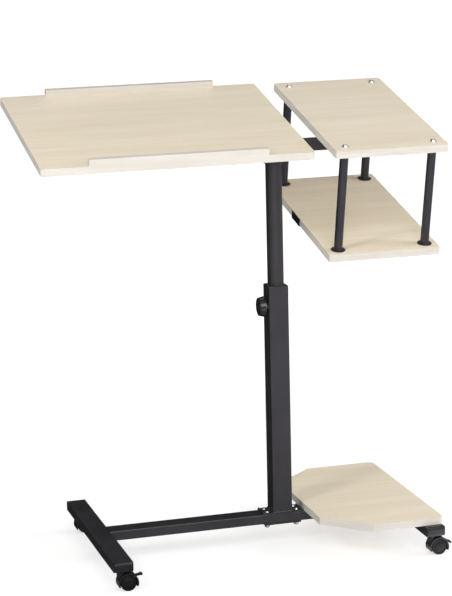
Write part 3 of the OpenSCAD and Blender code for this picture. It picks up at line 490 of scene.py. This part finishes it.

# %% [markdown]
# ## Powder-coated steel
#
# The frame is mild steel tube, sprayed with dry black powder and baked. The melted powder leaves a faint
# orange peel, with hills a millimetre or two across, and a satin shine like paint, IOR 1.5. It pulls thin
# over sharp corners, where handling rubs it to a dull grey, and it never gets quite as dark as black
# plastic. That grey is made paler than wear alone, so the corners also carry a painted highlight, the thin
# bright line along a front top edge. The peel is too small to model, so it is a bump, and the rubbed corners
# are the strips that easing marks on the mesh, broken up by a noise.

# %% Black powder coat
PEEL_SIZE, PEEL_DEPTH, CLOUD_SIZE, RUB_AND_HIGHLIGHT_SIZE = (1.8, 1.8, 1.8), 0.06, (60, 60, 60), (9, 9, 9)
# The rubbed corner colour is real wear made paler: it paints a highlight line on the edges.
DEEP_COAT, THIN_COAT, RUBBED_AND_HIGHLIT_COAT, COAT_ROUGH, RUBBED_SHINE = "1C1B1E", "232226", "77767A", (0.34, 0.46), 0.6


def black_powder_coat():
    made, tree, shader = start_finish("satin_black_powder_coat", IOR=1.5)
    peel = noise(tree, PEEL_SIZE, 2.0)
    cloud = noise(tree, CLOUD_SIZE, 3.0)
    rub_and_highlight = spread(tree, noise(tree, RUB_AND_HIGHLIGHT_SIZE, 4.0, 0.7), 0.45, 0.75)
    tone = blend_colours(tree, spread(tree, cloud, 0.3, 0.7), DEEP_COAT, THIN_COAT)
    # Painted highlight mixed with wear: the eased corners, broken up by noise, get the pale rubbed colour.
    rubbed_and_highlit = product(tree, edge_mask(tree), rub_and_highlight)
    tree.links.new(blend_colours(tree, rubbed_and_highlit, tone, RUBBED_AND_HIGHLIT_COAT), shader.inputs["Base Color"])
    satin = spread(tree, cloud, 0.3, 0.7, *COAT_ROUGH)
    polished = spread(tree, edge_mask(tree), 0, 1, 1.0, RUBBED_SHINE)
    tree.links.new(product(tree, satin, polished), shader.inputs["Roughness"])
    raise_bump(tree, shader, peel, PEEL_DEPTH, 0.5)
    return made


POWDER = black_powder_coat()
print("made", POWDER.name)

# %% [markdown]
# ## Moulded black plastic
#
# The plugs, hub, guides, clip and castor hoods are injection-moulded polyamide. The mould is spark
# eroded, which prints a fine grit on the part, so the shine is broad and soft. Corners that hands reach
# are polished by them. The grit is drawn at 0.8 mm, coarser than the real quarter of a millimetre, so
# that it shows. A bump makes it, without a single added face.

# %% Black moulded polyamide
GRIT_SIZE, GRIT_DEPTH, FLOW_SIZE = (0.8, 0.8, 0.8), 0.05, (26, 26, 26)
DEEP_PLASTIC, FLOW_PLASTIC, HANDLED_PLASTIC = "0E0E0F", "151517", "343437"
PLASTIC_ROUGH, HANDLED_SHINE = (0.40, 0.52), 0.72


def black_polyamide():
    made, tree, shader = start_finish("black_moulded_polyamide", IOR=1.53, Specular_IOR_Level=0.25)
    grit = noise(tree, GRIT_SIZE, 2.0)
    flow = noise(tree, FLOW_SIZE, 2.0)
    tone = blend_colours(tree, spread(tree, flow, 0.3, 0.7), DEEP_PLASTIC, FLOW_PLASTIC)
    tree.links.new(blend_colours(tree, edge_mask(tree), tone, HANDLED_PLASTIC), shader.inputs["Base Color"])
    matt = spread(tree, flow, 0.3, 0.7, *PLASTIC_ROUGH)
    handled = spread(tree, edge_mask(tree), 0, 1, 1.0, HANDLED_SHINE)
    tree.links.new(product(tree, matt, handled), shader.inputs["Roughness"])
    raise_bump(tree, shader, grit, GRIT_DEPTH, 0.6)
    return made


PLASTIC = black_polyamide()
print("made", PLASTIC.name)

# %% [markdown]
# ## Glossy knob plastic
#
# The two knobs are pressed from harder, shinier stuff than the rest, a phenolic that comes out of a
# polished mould. Fingers leave a faint film, which dulls it in soft patches of about five millimetres.
# One noise does both at once: where there is film, the colour is paler and the shine is broader.

# %% Glossy black phenolic
FILM_SIZE, WAVE_SIZE, WAVE_DEPTH = (5, 5, 5), (2.5, 2.5, 2.5), 0.02
CLEAN_KNOB, FILMED_KNOB, WORN_KNOB, KNOB_ROUGH = "101011", "19191B", "2A2A2C", (0.20, 0.34)


def black_phenolic():
    made, tree, shader = start_finish("glossy_black_phenolic", IOR=1.6, Specular_IOR_Level=0.3)
    film = spread(tree, noise(tree, FILM_SIZE, 3.0, 0.6), 0.35, 0.7)
    tone = blend_colours(tree, film, CLEAN_KNOB, FILMED_KNOB)
    tree.links.new(blend_colours(tree, edge_mask(tree), tone, WORN_KNOB), shader.inputs["Base Color"])
    tree.links.new(spread(tree, film, 0, 1, *KNOB_ROUGH), shader.inputs["Roughness"])
    raise_bump(tree, shader, noise(tree, WAVE_SIZE, 2.0), WAVE_DEPTH, 0.4)
    return made


PHENOLIC = black_phenolic()
print("made", PHENOLIC.name)

# %% [markdown]
# ## Bright zinc
#
# The bolts, stems and small screws are steel with bright zinc plating: a metal, so its colour is its
# reflection, with a soft bloom and faint turning marks. The marks could be cut into the mesh, but they
# are finer than a pixel, so a noise squeezed along the turning axis raises them as a bump.

# %% Bright zinc
BLOOM_SIZE, MARK_SIZE, MARK_DEPTH = (7, 7, 7), (6, 6, 0.5), 0.03
BRIGHT_ZINC, BLOOMED_ZINC, ZINC_ROUGH = "D3D5D6", "B4B3AC", (0.24, 0.40)


def bright_zinc():
    made, tree, shader = start_finish("bright_zinc_plated_steel", Metallic=1.0)
    bloom = spread(tree, noise(tree, BLOOM_SIZE, 3.0), 0.3, 0.7)
    marks = noise(tree, MARK_SIZE, 2.0)
    tree.links.new(blend_colours(tree, bloom, BRIGHT_ZINC, BLOOMED_ZINC), shader.inputs["Base Color"])
    tree.links.new(spread(tree, bloom, 0, 1, *ZINC_ROUGH), shader.inputs["Roughness"])
    raise_bump(tree, shader, marks, MARK_DEPTH, 0.5)
    return made


ZINC = bright_zinc()
print("made", ZINC.name)

# %% [markdown]
# ## Nickel plate
#
# The dome heads on the shelves are nickel plated and nearly mirrors, dulled in patches by fingers. A
# mirror shows the dark cloth above and the white floor below, and that is what tells a small dome from a
# flat disc. The smudges are one noise, which warms the colour a little and roughens the shine.

# %% Nickel
SMUDGE_SIZE, POLISH_SIZE, POLISH_DEPTH = (4, 4, 4), (1.2, 1.2, 1.2), 0.01
BRIGHT_NICKEL, SMUDGED_NICKEL, NICKEL_ROUGH = "F2EFE8", "D6D1C6", (0.06, 0.18)


def nickel_plate():
    made, tree, shader = start_finish("nickel_plated_steel", Metallic=1.0)
    smudge = spread(tree, noise(tree, SMUDGE_SIZE, 4.0, 0.7), 0.4, 0.7)
    tree.links.new(blend_colours(tree, smudge, BRIGHT_NICKEL, SMUDGED_NICKEL), shader.inputs["Base Color"])
    tree.links.new(spread(tree, smudge, 0, 1, *NICKEL_ROUGH), shader.inputs["Roughness"])
    raise_bump(tree, shader, noise(tree, POLISH_SIZE), POLISH_DEPTH, 0.3)
    return made


NICKEL = nickel_plate()
print("made", NICKEL.name)

# %% [markdown]
# ## Wheel nylon
#
# The wheels are dark nylon, turned and a little dusty where they meet the floor. The dust shows as soft
# lighter patches about six millimetres wide. Dust painted by hand would lie only where the floor throws
# it, but on wheels this small a noise looks the same.

# %% Wheel nylon
TURNED_SIZE, TURNED_DEPTH, DUST_SIZE = (1.0, 1.0, 1.0), 0.04, (6, 6, 6)
CLEAN_NYLON, DUSTY_NYLON, NYLON_ROUGH = "0A090B", "151417", (0.38, 0.58)


def wheel_nylon():
    made, tree, shader = start_finish("dark_wheel_nylon", IOR=1.53, Specular_IOR_Level=0.16)
    turned = noise(tree, TURNED_SIZE, 2.0)
    dust = spread(tree, noise(tree, DUST_SIZE, 4.0, 0.7), 0.42, 0.75)
    tree.links.new(blend_colours(tree, dust, CLEAN_NYLON, DUSTY_NYLON), shader.inputs["Base Color"])
    tree.links.new(spread(tree, dust, 0, 1, *NYLON_ROUGH), shader.inputs["Roughness"])
    raise_bump(tree, shader, turned, TURNED_DEPTH, 0.5)
    return made


NYLON = wheel_nylon()
print("made", NYLON.name)

# %% [markdown]
# ## Which finish goes where
#
# Each solid carries a slot, the name of the stuff that it is made of. The table below gives every slot
# its finish.

# %% Which finish each slot gets
FINISH = {"maple_board": MAPLE, "black_steel": POWDER, "black_plastic": PLASTIC, "zinc_steel": ZINC,
          "chrome_steel": NICKEL, "wheel_nylon": NYLON}
SLOT_OF = {name: thing.data.materials[0].name for name, thing in frame["nodes"].items()}
BODY_OF = {name: thing["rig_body"] for name, thing in frame["nodes"].items()}
print("slots:", sorted(set(SLOT_OF.values())))

# %% [markdown]
# ## Easing the edges
#
# A drawing has knife-sharp corners, a factory has none: sheared steel is deburred, boards are scraped,
# mouldings need radii to leave the mould. Those tiny faces catch the light and are most of what makes a
# render look real. A bevel modifier could do this, but in mesh code the new faces can be marked as they
# are made, so that a finish can wear them, and on the steel also paint a highlight on them. The copy first
# has its split corners welded and its flat triangles merged. Wide flat faces get weighted normals, so only
# the eased corners look round.

# %% Easing edges
FLAT, SHARP, KEPT_SHARP = math.radians(0.5), math.radians(38), math.radians(50)
ROUND_STEPS = 2
WELD_WITHIN = 1e-6


def eased(cad_node, ease_mm, piece_name):
    """A copy of a CAD node with its hard edges rounded, standing for it on the same body."""
    bm = bmesh.new()
    bm.from_mesh(frame["nodes"][cad_node].data)
    mark = bm.faces.layers.float.new("eased_edge")
    bmesh.ops.remove_doubles(bm, verts=bm.verts, dist=WELD_WITHIN)
    bmesh.ops.dissolve_limit(bm, angle_limit=FLAT, verts=bm.verts, edges=bm.edges)
    hard = [e for e in bm.edges if len(e.link_faces) == 2 and e.calc_face_angle(0) > SHARP]
    made = bmesh.ops.bevel(bm, geom=hard, offset=ease_mm * MM, offset_type="OFFSET", segments=ROUND_STEPS,
                           profile=0.5, affect="EDGES", clamp_overlap=True)
    for face in made["faces"]:
        face[mark] = 1.0
    bmesh.ops.recalc_face_normals(bm, faces=bm.faces)
    for face in bm.faces:
        face.smooth = True
    mesh = bpy.data.meshes.new(piece_name)
    bm.to_mesh(mesh)
    bm.free()
    mesh.set_sharp_from_angle(angle=KEPT_SHARP)
    piece = bpy.data.objects.new(piece_name, mesh)
    bpy.context.collection.objects.link(piece)
    even = piece.modifiers.new("even_normals", "WEIGHTED_NORMAL")
    even.keep_sharp = True
    mesh.materials.append(FINISH[SLOT_OF[cad_node]])
    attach(piece, BODY_OF[cad_node])
    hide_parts(cad_node)
    return piece


print("corners sharper than", round(math.degrees(SHARP)), "degrees get", ROUND_STEPS, "steps")

# %% [markdown]
# ## How much each edge is eased
#
# Boards are rounded by their band, about 1.6 mm. Moulded parts have half a millimetre to one, and sheared
# or sawn steel only loses its burr. Widths are in millimetres. The knobs also get their own shinier
# plastic here.

# %% Eased solids
EASE = {
    "main_top": 1.6, "side_shelf": 1.6, "lower_shelf": 1.6, "foot_board": 1.6, "front_ledge": 1.2,
    "back_ledge": 1.2, "height_knob": 0.9, "tilt_knob": 0.8, "tilt_hub": 0.5, "arm_end_caps": 0.5,
    "cable_clip": 0.4, "post_guide_bush": 0.45, "castor_sockets": 0.3, "mast_head": 0.8,
    "post_base_plate": 0.4, "lower_clamp_plate": 0.4, "post_gussets": 0.4, "left_bearer": 0.4,
    "middle_bearer": 0.4, "side_bearer": 0.4, "base_bolts": 0.4, "base_nuts": 0.4, "post_weld_nut": 0.4,
    "post_tube": 0.7, "mast_tube": 0.3,
    "castor_front_left_hood": 0.4, "castor_front_right_hood": 0.4, "castor_back_left_hood": 0.4,
    "castor_back_right_hood": 0.4, "castor_front_left_brake": 0.4, "castor_front_right_brake": 0.4,
}
dressed = {name: eased(name, width, "eased_" + name) for name, width in EASE.items()}
for name in ("height_knob", "tilt_knob"):
    dressed[name].data.materials[0] = PHENOLIC
print("eased", len(dressed), "pieces,", sum(len(p.data.polygons) for p in dressed.values()), "faces")

# %% [markdown]
# ## Banding the boards
#
# A board's faces are printed and its edges are banded, so one mesh carries two finishes. A face belongs
# to the band if it doesn't look along the board's thickness. That test is the lean of the tops for the
# upper boards, and plain up for the foot board.

# %% Edge bands
BANDED = {"main_top": LEAN_Z, "side_shelf": LEAN_Z, "lower_shelf": LEAN_Z, "foot_board": Z}
FACE_LIMIT = 0.97

for name, across in BANDED.items():
    mesh = dressed[name].data
    mesh.materials.append(EDGE_BAND)
    for face in mesh.polygons:
        face.material_index = 0 if abs(face.normal.dot(across)) > FACE_LIMIT else 1
for name in ("front_ledge", "back_ledge"):
    dressed[name].data.materials[0] = EDGE_BAND
print("banded", sorted(BANDED))

# %% [markdown]
# ## Building forms from rings
#
# A lathe, a loft and a weld all make the same kind of skin: a row of rings, each joined to the next. One
# function joins rings, a second turns a profile about an axis, and the others only have to say where the
# rings lie. A ring may be a single point, which closes an end.

# %% Rings
def join_rings(bm, rings, closed=False):
    """Faces between each ring of corners and the next, and between the last and the first if it is closed."""
    pairs = list(zip(rings, rings[1:])) + ([(rings[-1], rings[0])] if closed else [])
    for one, other in pairs:
        count = max(len(one), len(other))
        for i in range(count):
            j = (i + 1) % count
            corners = [one[i % len(one)], one[j % len(one)], other[j % len(other)], other[i % len(other)]]
            bm.faces.new(list(dict.fromkeys(corners)))


def add_ring(bm, points_mm):
    """Corners at these points, given in world mm."""
    return [bm.verts.new(Vector(point) * MM) for point in points_mm]


TURN_STEPS = 48


def turn_profile(bm, profile, start, along, closed=False):
    """Turn (radius, height) points, in mm, about an axis with this start and direction."""
    side = along.orthogonal().normalized()
    up = along.cross(side)
    rings = []
    for radius, height in profile:
        angles = [math.tau * i / TURN_STEPS for i in range(TURN_STEPS if radius else 1)]
        rings.append(add_ring(bm, [start + along * height + (side * math.cos(a) + up * math.sin(a)) * radius
                                   for a in angles]))
    join_rings(bm, rings, closed)


print("a turned form has", TURN_STEPS, "steps around")

# %% From faces to a piece
CREASE = 40


def finish_piece(bm, name, slot_name, body, sharp_degrees=CREASE):
    """Turn gathered faces into a piece with its finish, slot and body."""
    bmesh.ops.recalc_face_normals(bm, faces=bm.faces)
    for face in bm.faces:
        face.smooth = True
    mesh = bpy.data.meshes.new(name)
    bm.to_mesh(mesh)
    bm.free()
    mesh.set_sharp_from_angle(angle=math.radians(sharp_degrees))
    mesh.materials.append(FINISH[slot_name])
    piece = bpy.data.objects.new(name, mesh)
    bpy.context.collection.objects.link(piece)
    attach(piece, body)
    return piece


print("corners over", CREASE, "degrees stay sharp")

# %% [markdown]
# ## End caps of the feet
#
# The plugs in the tube ends are moulded with a swollen face, round at the top and bottom where a foot may
# kick them and softer at the sides. A sharp block would give one flat tone. The cap is a loft of rounded
# rectangles that shrink along a quarter of an ellipse, so that its highlight runs around the rim. The
# same loft goes on into the tube as the plug, thinner by the tube's wall.

# %% Cap loft
TUBE_RADIUS, TUBE_WALL, PLUG_DEPTH = 2.0, 1.55, 9.0
CAP_SHRINK_SIDES, CAP_SHRINK_TOP, LEAST_FLAT = 2.6, 6.0, 0.1
CAP_STEPS, CORNER_STEPS = 9, 6


def rounded_outline(half_w, half_h, radius):
    """Points around a rounded rectangle, in mm."""
    points = []
    for corner, (sx, sz) in enumerate(((1, 1), (-1, 1), (-1, -1), (1, -1))):
        for i in range(CORNER_STEPS + 1):
            a = math.pi / 2 * (corner + i / CORNER_STEPS)
            points.append((sx * (half_w - radius) + radius * math.cos(a),
                           sz * (half_h - radius) + radius * math.sin(a)))
    return points


def loft_cap(bm, middle, half_w, half_h, depth, outward):
    """One cap: its tube ends at a point, and its nose stands out along Y by the depth."""
    quarter = [math.pi / 2 * (1 - k / CAP_STEPS) for k in range(CAP_STEPS + 1)]
    stages = [(outward * depth * math.sin(a), CAP_SHRINK_SIDES * (1 - math.cos(a)),
               CAP_SHRINK_TOP * (1 - math.cos(a))) for a in quarter]
    stages += [(0, TUBE_WALL, TUBE_WALL), (-outward * PLUG_DEPTH, TUBE_WALL, TUBE_WALL)]
    rings = []
    for y, in_x, in_z in stages:
        radius = min(TUBE_RADIUS + in_x / 2, half_h - in_z - LEAST_FLAT)
        rings.append(add_ring(bm, [middle + Vector((u, y, v))
                                   for u, v in rounded_outline(half_w - in_x, half_h - in_z, radius)]))
    join_rings(bm, rings)
    bm.faces.new(rings[0])
    bm.faces.new(rings[-1])


print("a cap has", CAP_STEPS + 3, "rings")

# %% Foot end caps
caps_low, caps_high = span("foot_end_caps")
bm = bmesh.new()
for foot in ("left_foot_tube", "right_foot_tube"):
    low, high = span(foot)
    middle = (low + high) / 2
    half_w, half_h = (high.x - low.x) / 2, (high.z - low.z) / 2
    loft_cap(bm, Vector((middle.x, low.y, middle.z)), half_w, half_h, low.y - caps_low.y, -1)
    loft_cap(bm, Vector((middle.x, high.y, middle.z)), half_w, half_h, caps_high.y - high.y, 1)
foot_caps = finish_piece(bm, "swollen_foot_caps", SLOT_OF["foot_end_caps"], BODY_OF["foot_end_caps"])
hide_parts("foot_end_caps")
print("caps with", len(foot_caps.data.polygons), "faces")

# %% [markdown]
# ## Rod flanges
#
# Each shelf rod stands in a pressed washer that flares out like the foot of a wine glass. The drawing
# keeps a plain disc. Turning a short hollow curve instead lets the light run up from the rim into the
# rod.

# %% Flared rod flanges
ROD_INSET = 25.0
SHELF_FRONT, SHELF_DEPTH, SHELF_FLOOR_Z = -203.5, 408.0, -155.0
FLARE = ((8.6, 0.0), (14.5, 0.0), (14.5, 0.7), (14.2, 1.1), (12.6, 1.25), (11.0, 1.5), (9.8, 1.9), (9.1, 2.3),
         (8.6, 2.5))


def rod_places():
    """The four rod axes, as x and y in the leaning frame."""
    low, high = span("side_shelf")
    xs = (low.x - MAST_X + ROD_INSET, high.x - MAST_X - ROD_INSET)
    ys = (SHELF_FRONT + ROD_INSET, SHELF_FRONT + SHELF_DEPTH - ROD_INSET)
    return [(x, y) for x in xs for y in ys]


bm = bmesh.new()
for x, y in rod_places():
    turn_profile(bm, FLARE, lean_point(x, y, SHELF_FLOOR_Z) / MM, LEAN_Z, closed=True)
flanges = finish_piece(bm, "flared_rod_flanges", SLOT_OF["rod_flanges"], BODY_OF["rod_flanges"])
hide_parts("rod_flanges")
print("flanges with", len(flanges.data.polygons), "faces")

# %% [markdown]
# ## Wheel caps
#
# The axle ends are not left bare: a domed cover is pushed into the dish of each wheel, so nothing winds
# itself on the axle. It turns with the wheel. Its profile is a thin shell, low at the rim and hollow
# behind, where the axle ends.

# %% Domed wheel caps
DOME = ((0, 1.1), (2.0, 1.06), (4.0, 0.92), (6.0, 0.66), (8.0, 0.28), (9.6, -0.12), (10.9, -0.52),
        (11.6, -0.8), (11.9, -1.05), (11.0, -1.05), (8.0, -0.5), (3.2, 0.2), (0, 0.3))

for wheels in [name for name in frame["nodes"] if name.endswith("_wheels")]:
    low, high = span(wheels)
    middle = (low + high) / 2
    bm = bmesh.new()
    turn_profile(bm, DOME, Vector((middle.x, high.y, middle.z)), Vector((0, 1, 0)))
    turn_profile(bm, DOME, Vector((middle.x, low.y, middle.z)), Vector((0, -1, 0)))
    finish_piece(bm, wheels.replace("_wheels", "_wheel_caps"), "wheel_nylon", BODY_OF[wheels])
print("wheel caps on", sum(name.endswith("_wheels") for name in frame["nodes"]), "castors")

# %% [markdown]
# ## Weld beads
#
# Nothing bolts the arm to its bearers or the post to its plate: they are welded, and the paint goes over
# the weld. A bead is a row of frozen puddles, each a crescent that laps over the last about every two
# millimetres. The bead below is a tube swept along the seam. Its radius rises and drops like saw teeth,
# and the teeth lag at the sides, which bends them into crescents. A slow sway keeps it from looking
# machine made. Only sines are used, so it is the same every time.

# %% Bead paths
BEAD_STEP = 0.6


def resample(path, closed):
    """Points every step along a path of corners, in mm, each with the way ahead."""
    corners = list(path) + ([path[0]] if closed else [])
    found = []
    for a, b in zip(corners, corners[1:]):
        steps = max(1, round((b - a).length / BEAD_STEP))
        found += [a.lerp(b, i / steps) for i in range(steps)]
    return found if closed else found + [corners[-1]]


def loop_path(middle, u, v, half_u, half_v, radius):
    """A rounded rectangle around a point, along two directions, in mm."""
    return [middle + u * a + v * b for a, b in rounded_outline(half_u, half_v, radius)]


print("a bead has a ring every", BEAD_STEP, "mm")

# %% Bead sweep
BEAD_SIDES = 10
RIPPLE_PITCH, RIPPLE_SIZE, RIPPLE_LAG = 2.2, 0.22, 0.45
SWAY, LONG_SWAY, SHORT_SWAY, SHORT_SHARE = 0.16, 5.3, 2.1, 0.6
LEAST_FULL = 0.02


def lay_bead(bm, path, plane, radius, closed=False):
    """Sweep a rippled bead along a flat path in the plane with this normal."""
    points = resample(path, closed)
    count = len(points)
    rings, length = [], 0.0
    for i, point in enumerate(points):
        before = points[i - 1] if closed or i > 0 else point
        after = points[(i + 1) % count] if closed or i < count - 1 else point
        out = (after - before).normalized().cross(plane)
        length += (point - points[i - 1]).length if i else 0.0
        sway = math.sin(length / LONG_SWAY) + SHORT_SHARE * math.sin(length / SHORT_SWAY + 1)
        here = point + out * SWAY * sway
        end = min(length, (count - 1) * BEAD_STEP - length) if not closed else radius
        full = math.sqrt(max(LEAST_FULL, 1 - (1 - min(1.0, end / radius)) ** 2))
        ring_points = []
        for k in range(BEAD_SIDES):
            a = math.tau * k / BEAD_SIDES
            lag = RIPPLE_LAG * math.sin(2 * a) ** 2
            tooth = (length / RIPPLE_PITCH + lag) % 1.0
            r = radius * full * (1 + RIPPLE_SIZE * (tooth - 0.5))
            ring_points.append(here + (out * math.cos(a) + plane * math.sin(a)) * r)
        rings.append(add_ring(bm, ring_points))
    join_rings(bm, rings, closed)
    if not closed:
        bm.faces.new(rings[0])
        bm.faces.new(rings[-1])


print("a bead has a ripple every", RIPPLE_PITCH, "mm")

# %% [markdown]
# ## Beads on the base
#
# One bead runs around the foot of the post, thin ones follow both sides of each gusset, and the beam is
# welded to the feet along its front, bottom and back. The open beads stop short of the corners, as a
# welder does.

# %% Beads on the base
POST_BEAD, GUSSET_BEAD, JOINT_BEAD = 2.0, 1.3, 2.0
GUSSET_STOP, JOINT_STOP = 1.5, 1.0
BEAD_SHARP = 60

post_low, post_high = span("post_tube")
post_half = (post_high.x - post_low.x) / 2
bm = bmesh.new()
foot = Vector((MAST_X, MAST_Y, post_low.z))
lay_bead(bm, loop_path(foot, X, Y, post_half, post_half, TUBE_RADIUS), Z, POST_BEAD, True)
gusset_low, gusset_high = span("post_gussets")
gusset_half = (gusset_high.y - gusset_low.y) / 2
for side in (-1, 1):
    tip = (gusset_high.x - MAST_X) if side > 0 else (MAST_X - gusset_low.x)
    for front in (-1, 1):
        edge = [(tip - GUSSET_STOP, post_low.z), (post_half, post_low.z),
                (post_half, gusset_high.z - GUSSET_STOP)]
        path = [Vector((MAST_X + side * x, MAST_Y + front * gusset_half, z)) for x, z in edge]
        lay_bead(bm, path, Y, GUSSET_BEAD)
finish_piece(bm, "weld_post_foot", "black_steel", BODY_OF["post_tube"], BEAD_SHARP)

beam_low, beam_high = span("base_beam")
bm = bmesh.new()
for x in (beam_low.x, beam_high.x):
    seam_top = beam_high.z - JOINT_BEAD - JOINT_STOP
    seam = [(beam_low.y, seam_top), (beam_low.y, beam_low.z), (beam_high.y, beam_low.z),
            (beam_high.y, seam_top)]
    lay_bead(bm, [Vector((x, y, z)) for y, z in seam], X, JOINT_BEAD)
finish_piece(bm, "weld_beam_joints", "black_steel", BODY_OF["base_beam"], BEAD_SHARP)
print("beads laid on the base")

# %% [markdown]
# ## Beads on the mast and the bearers
#
# The clamp's socket is welded to the top of the mast all the way round. Each bearer is a folded plate
# with the arm through it, welded around the arm on both sides, so those beads lean with the tops.

# %% Beads on the mast and the bearers
HEAD_BEAD, ARM_BEAD = 1.8, 1.7
ARM_HALF_W, ARM_HALF_H, ARM_RADIUS = 12.5, 10.0, 1.5
ROUND_SEAM_FLAT = 0.1

bm = bmesh.new()
mast_radius = (mast_high.x - mast_low.x) / 2
head_floor = span("mast_head")[0].z
around_mast = loop_path(Vector((MAST_X, MAST_Y, head_floor)), X, Y, mast_radius, mast_radius,
                        mast_radius - ROUND_SEAM_FLAT)
lay_bead(bm, around_mast, Z, HEAD_BEAD, True)
finish_piece(bm, "weld_mast_head", "black_steel", BODY_OF["mast_head"], BEAD_SHARP)

bm = bmesh.new()
for bearer in ("left_bearer", "middle_bearer", "side_bearer"):
    low, high = span(bearer)
    for x in (low.x, high.x):
        around_arm = loop_path(Vector((x, MAST_Y, HINGE_Z)), LEAN_Y, LEAN_Z, ARM_HALF_W, ARM_HALF_H,
                               ARM_RADIUS)
        lay_bead(bm, around_arm, X, ARM_BEAD, True)
finish_piece(bm, "weld_bearers", "black_steel", BODY_OF["left_bearer"], BEAD_SHARP)
print("beads laid on the mast and the bearers")

# %% [markdown]
# ## The solids that stay
#
# Small round parts gain nothing from new meshes: the engineering model's own solids are kept and only get
# their finish.

# %% Finishes on the solids that stay
REBUILT = set(EASE) | {"foot_end_caps", "rod_flanges"}
for name, thing in frame["nodes"].items():
    if name not in REBUILT:
        for i in range(len(thing.data.materials)):
            thing.data.materials[i] = FINISH[SLOT_OF[name]]
print("kept", len(frame["nodes"]) - len(REBUILT), "solids as they are")
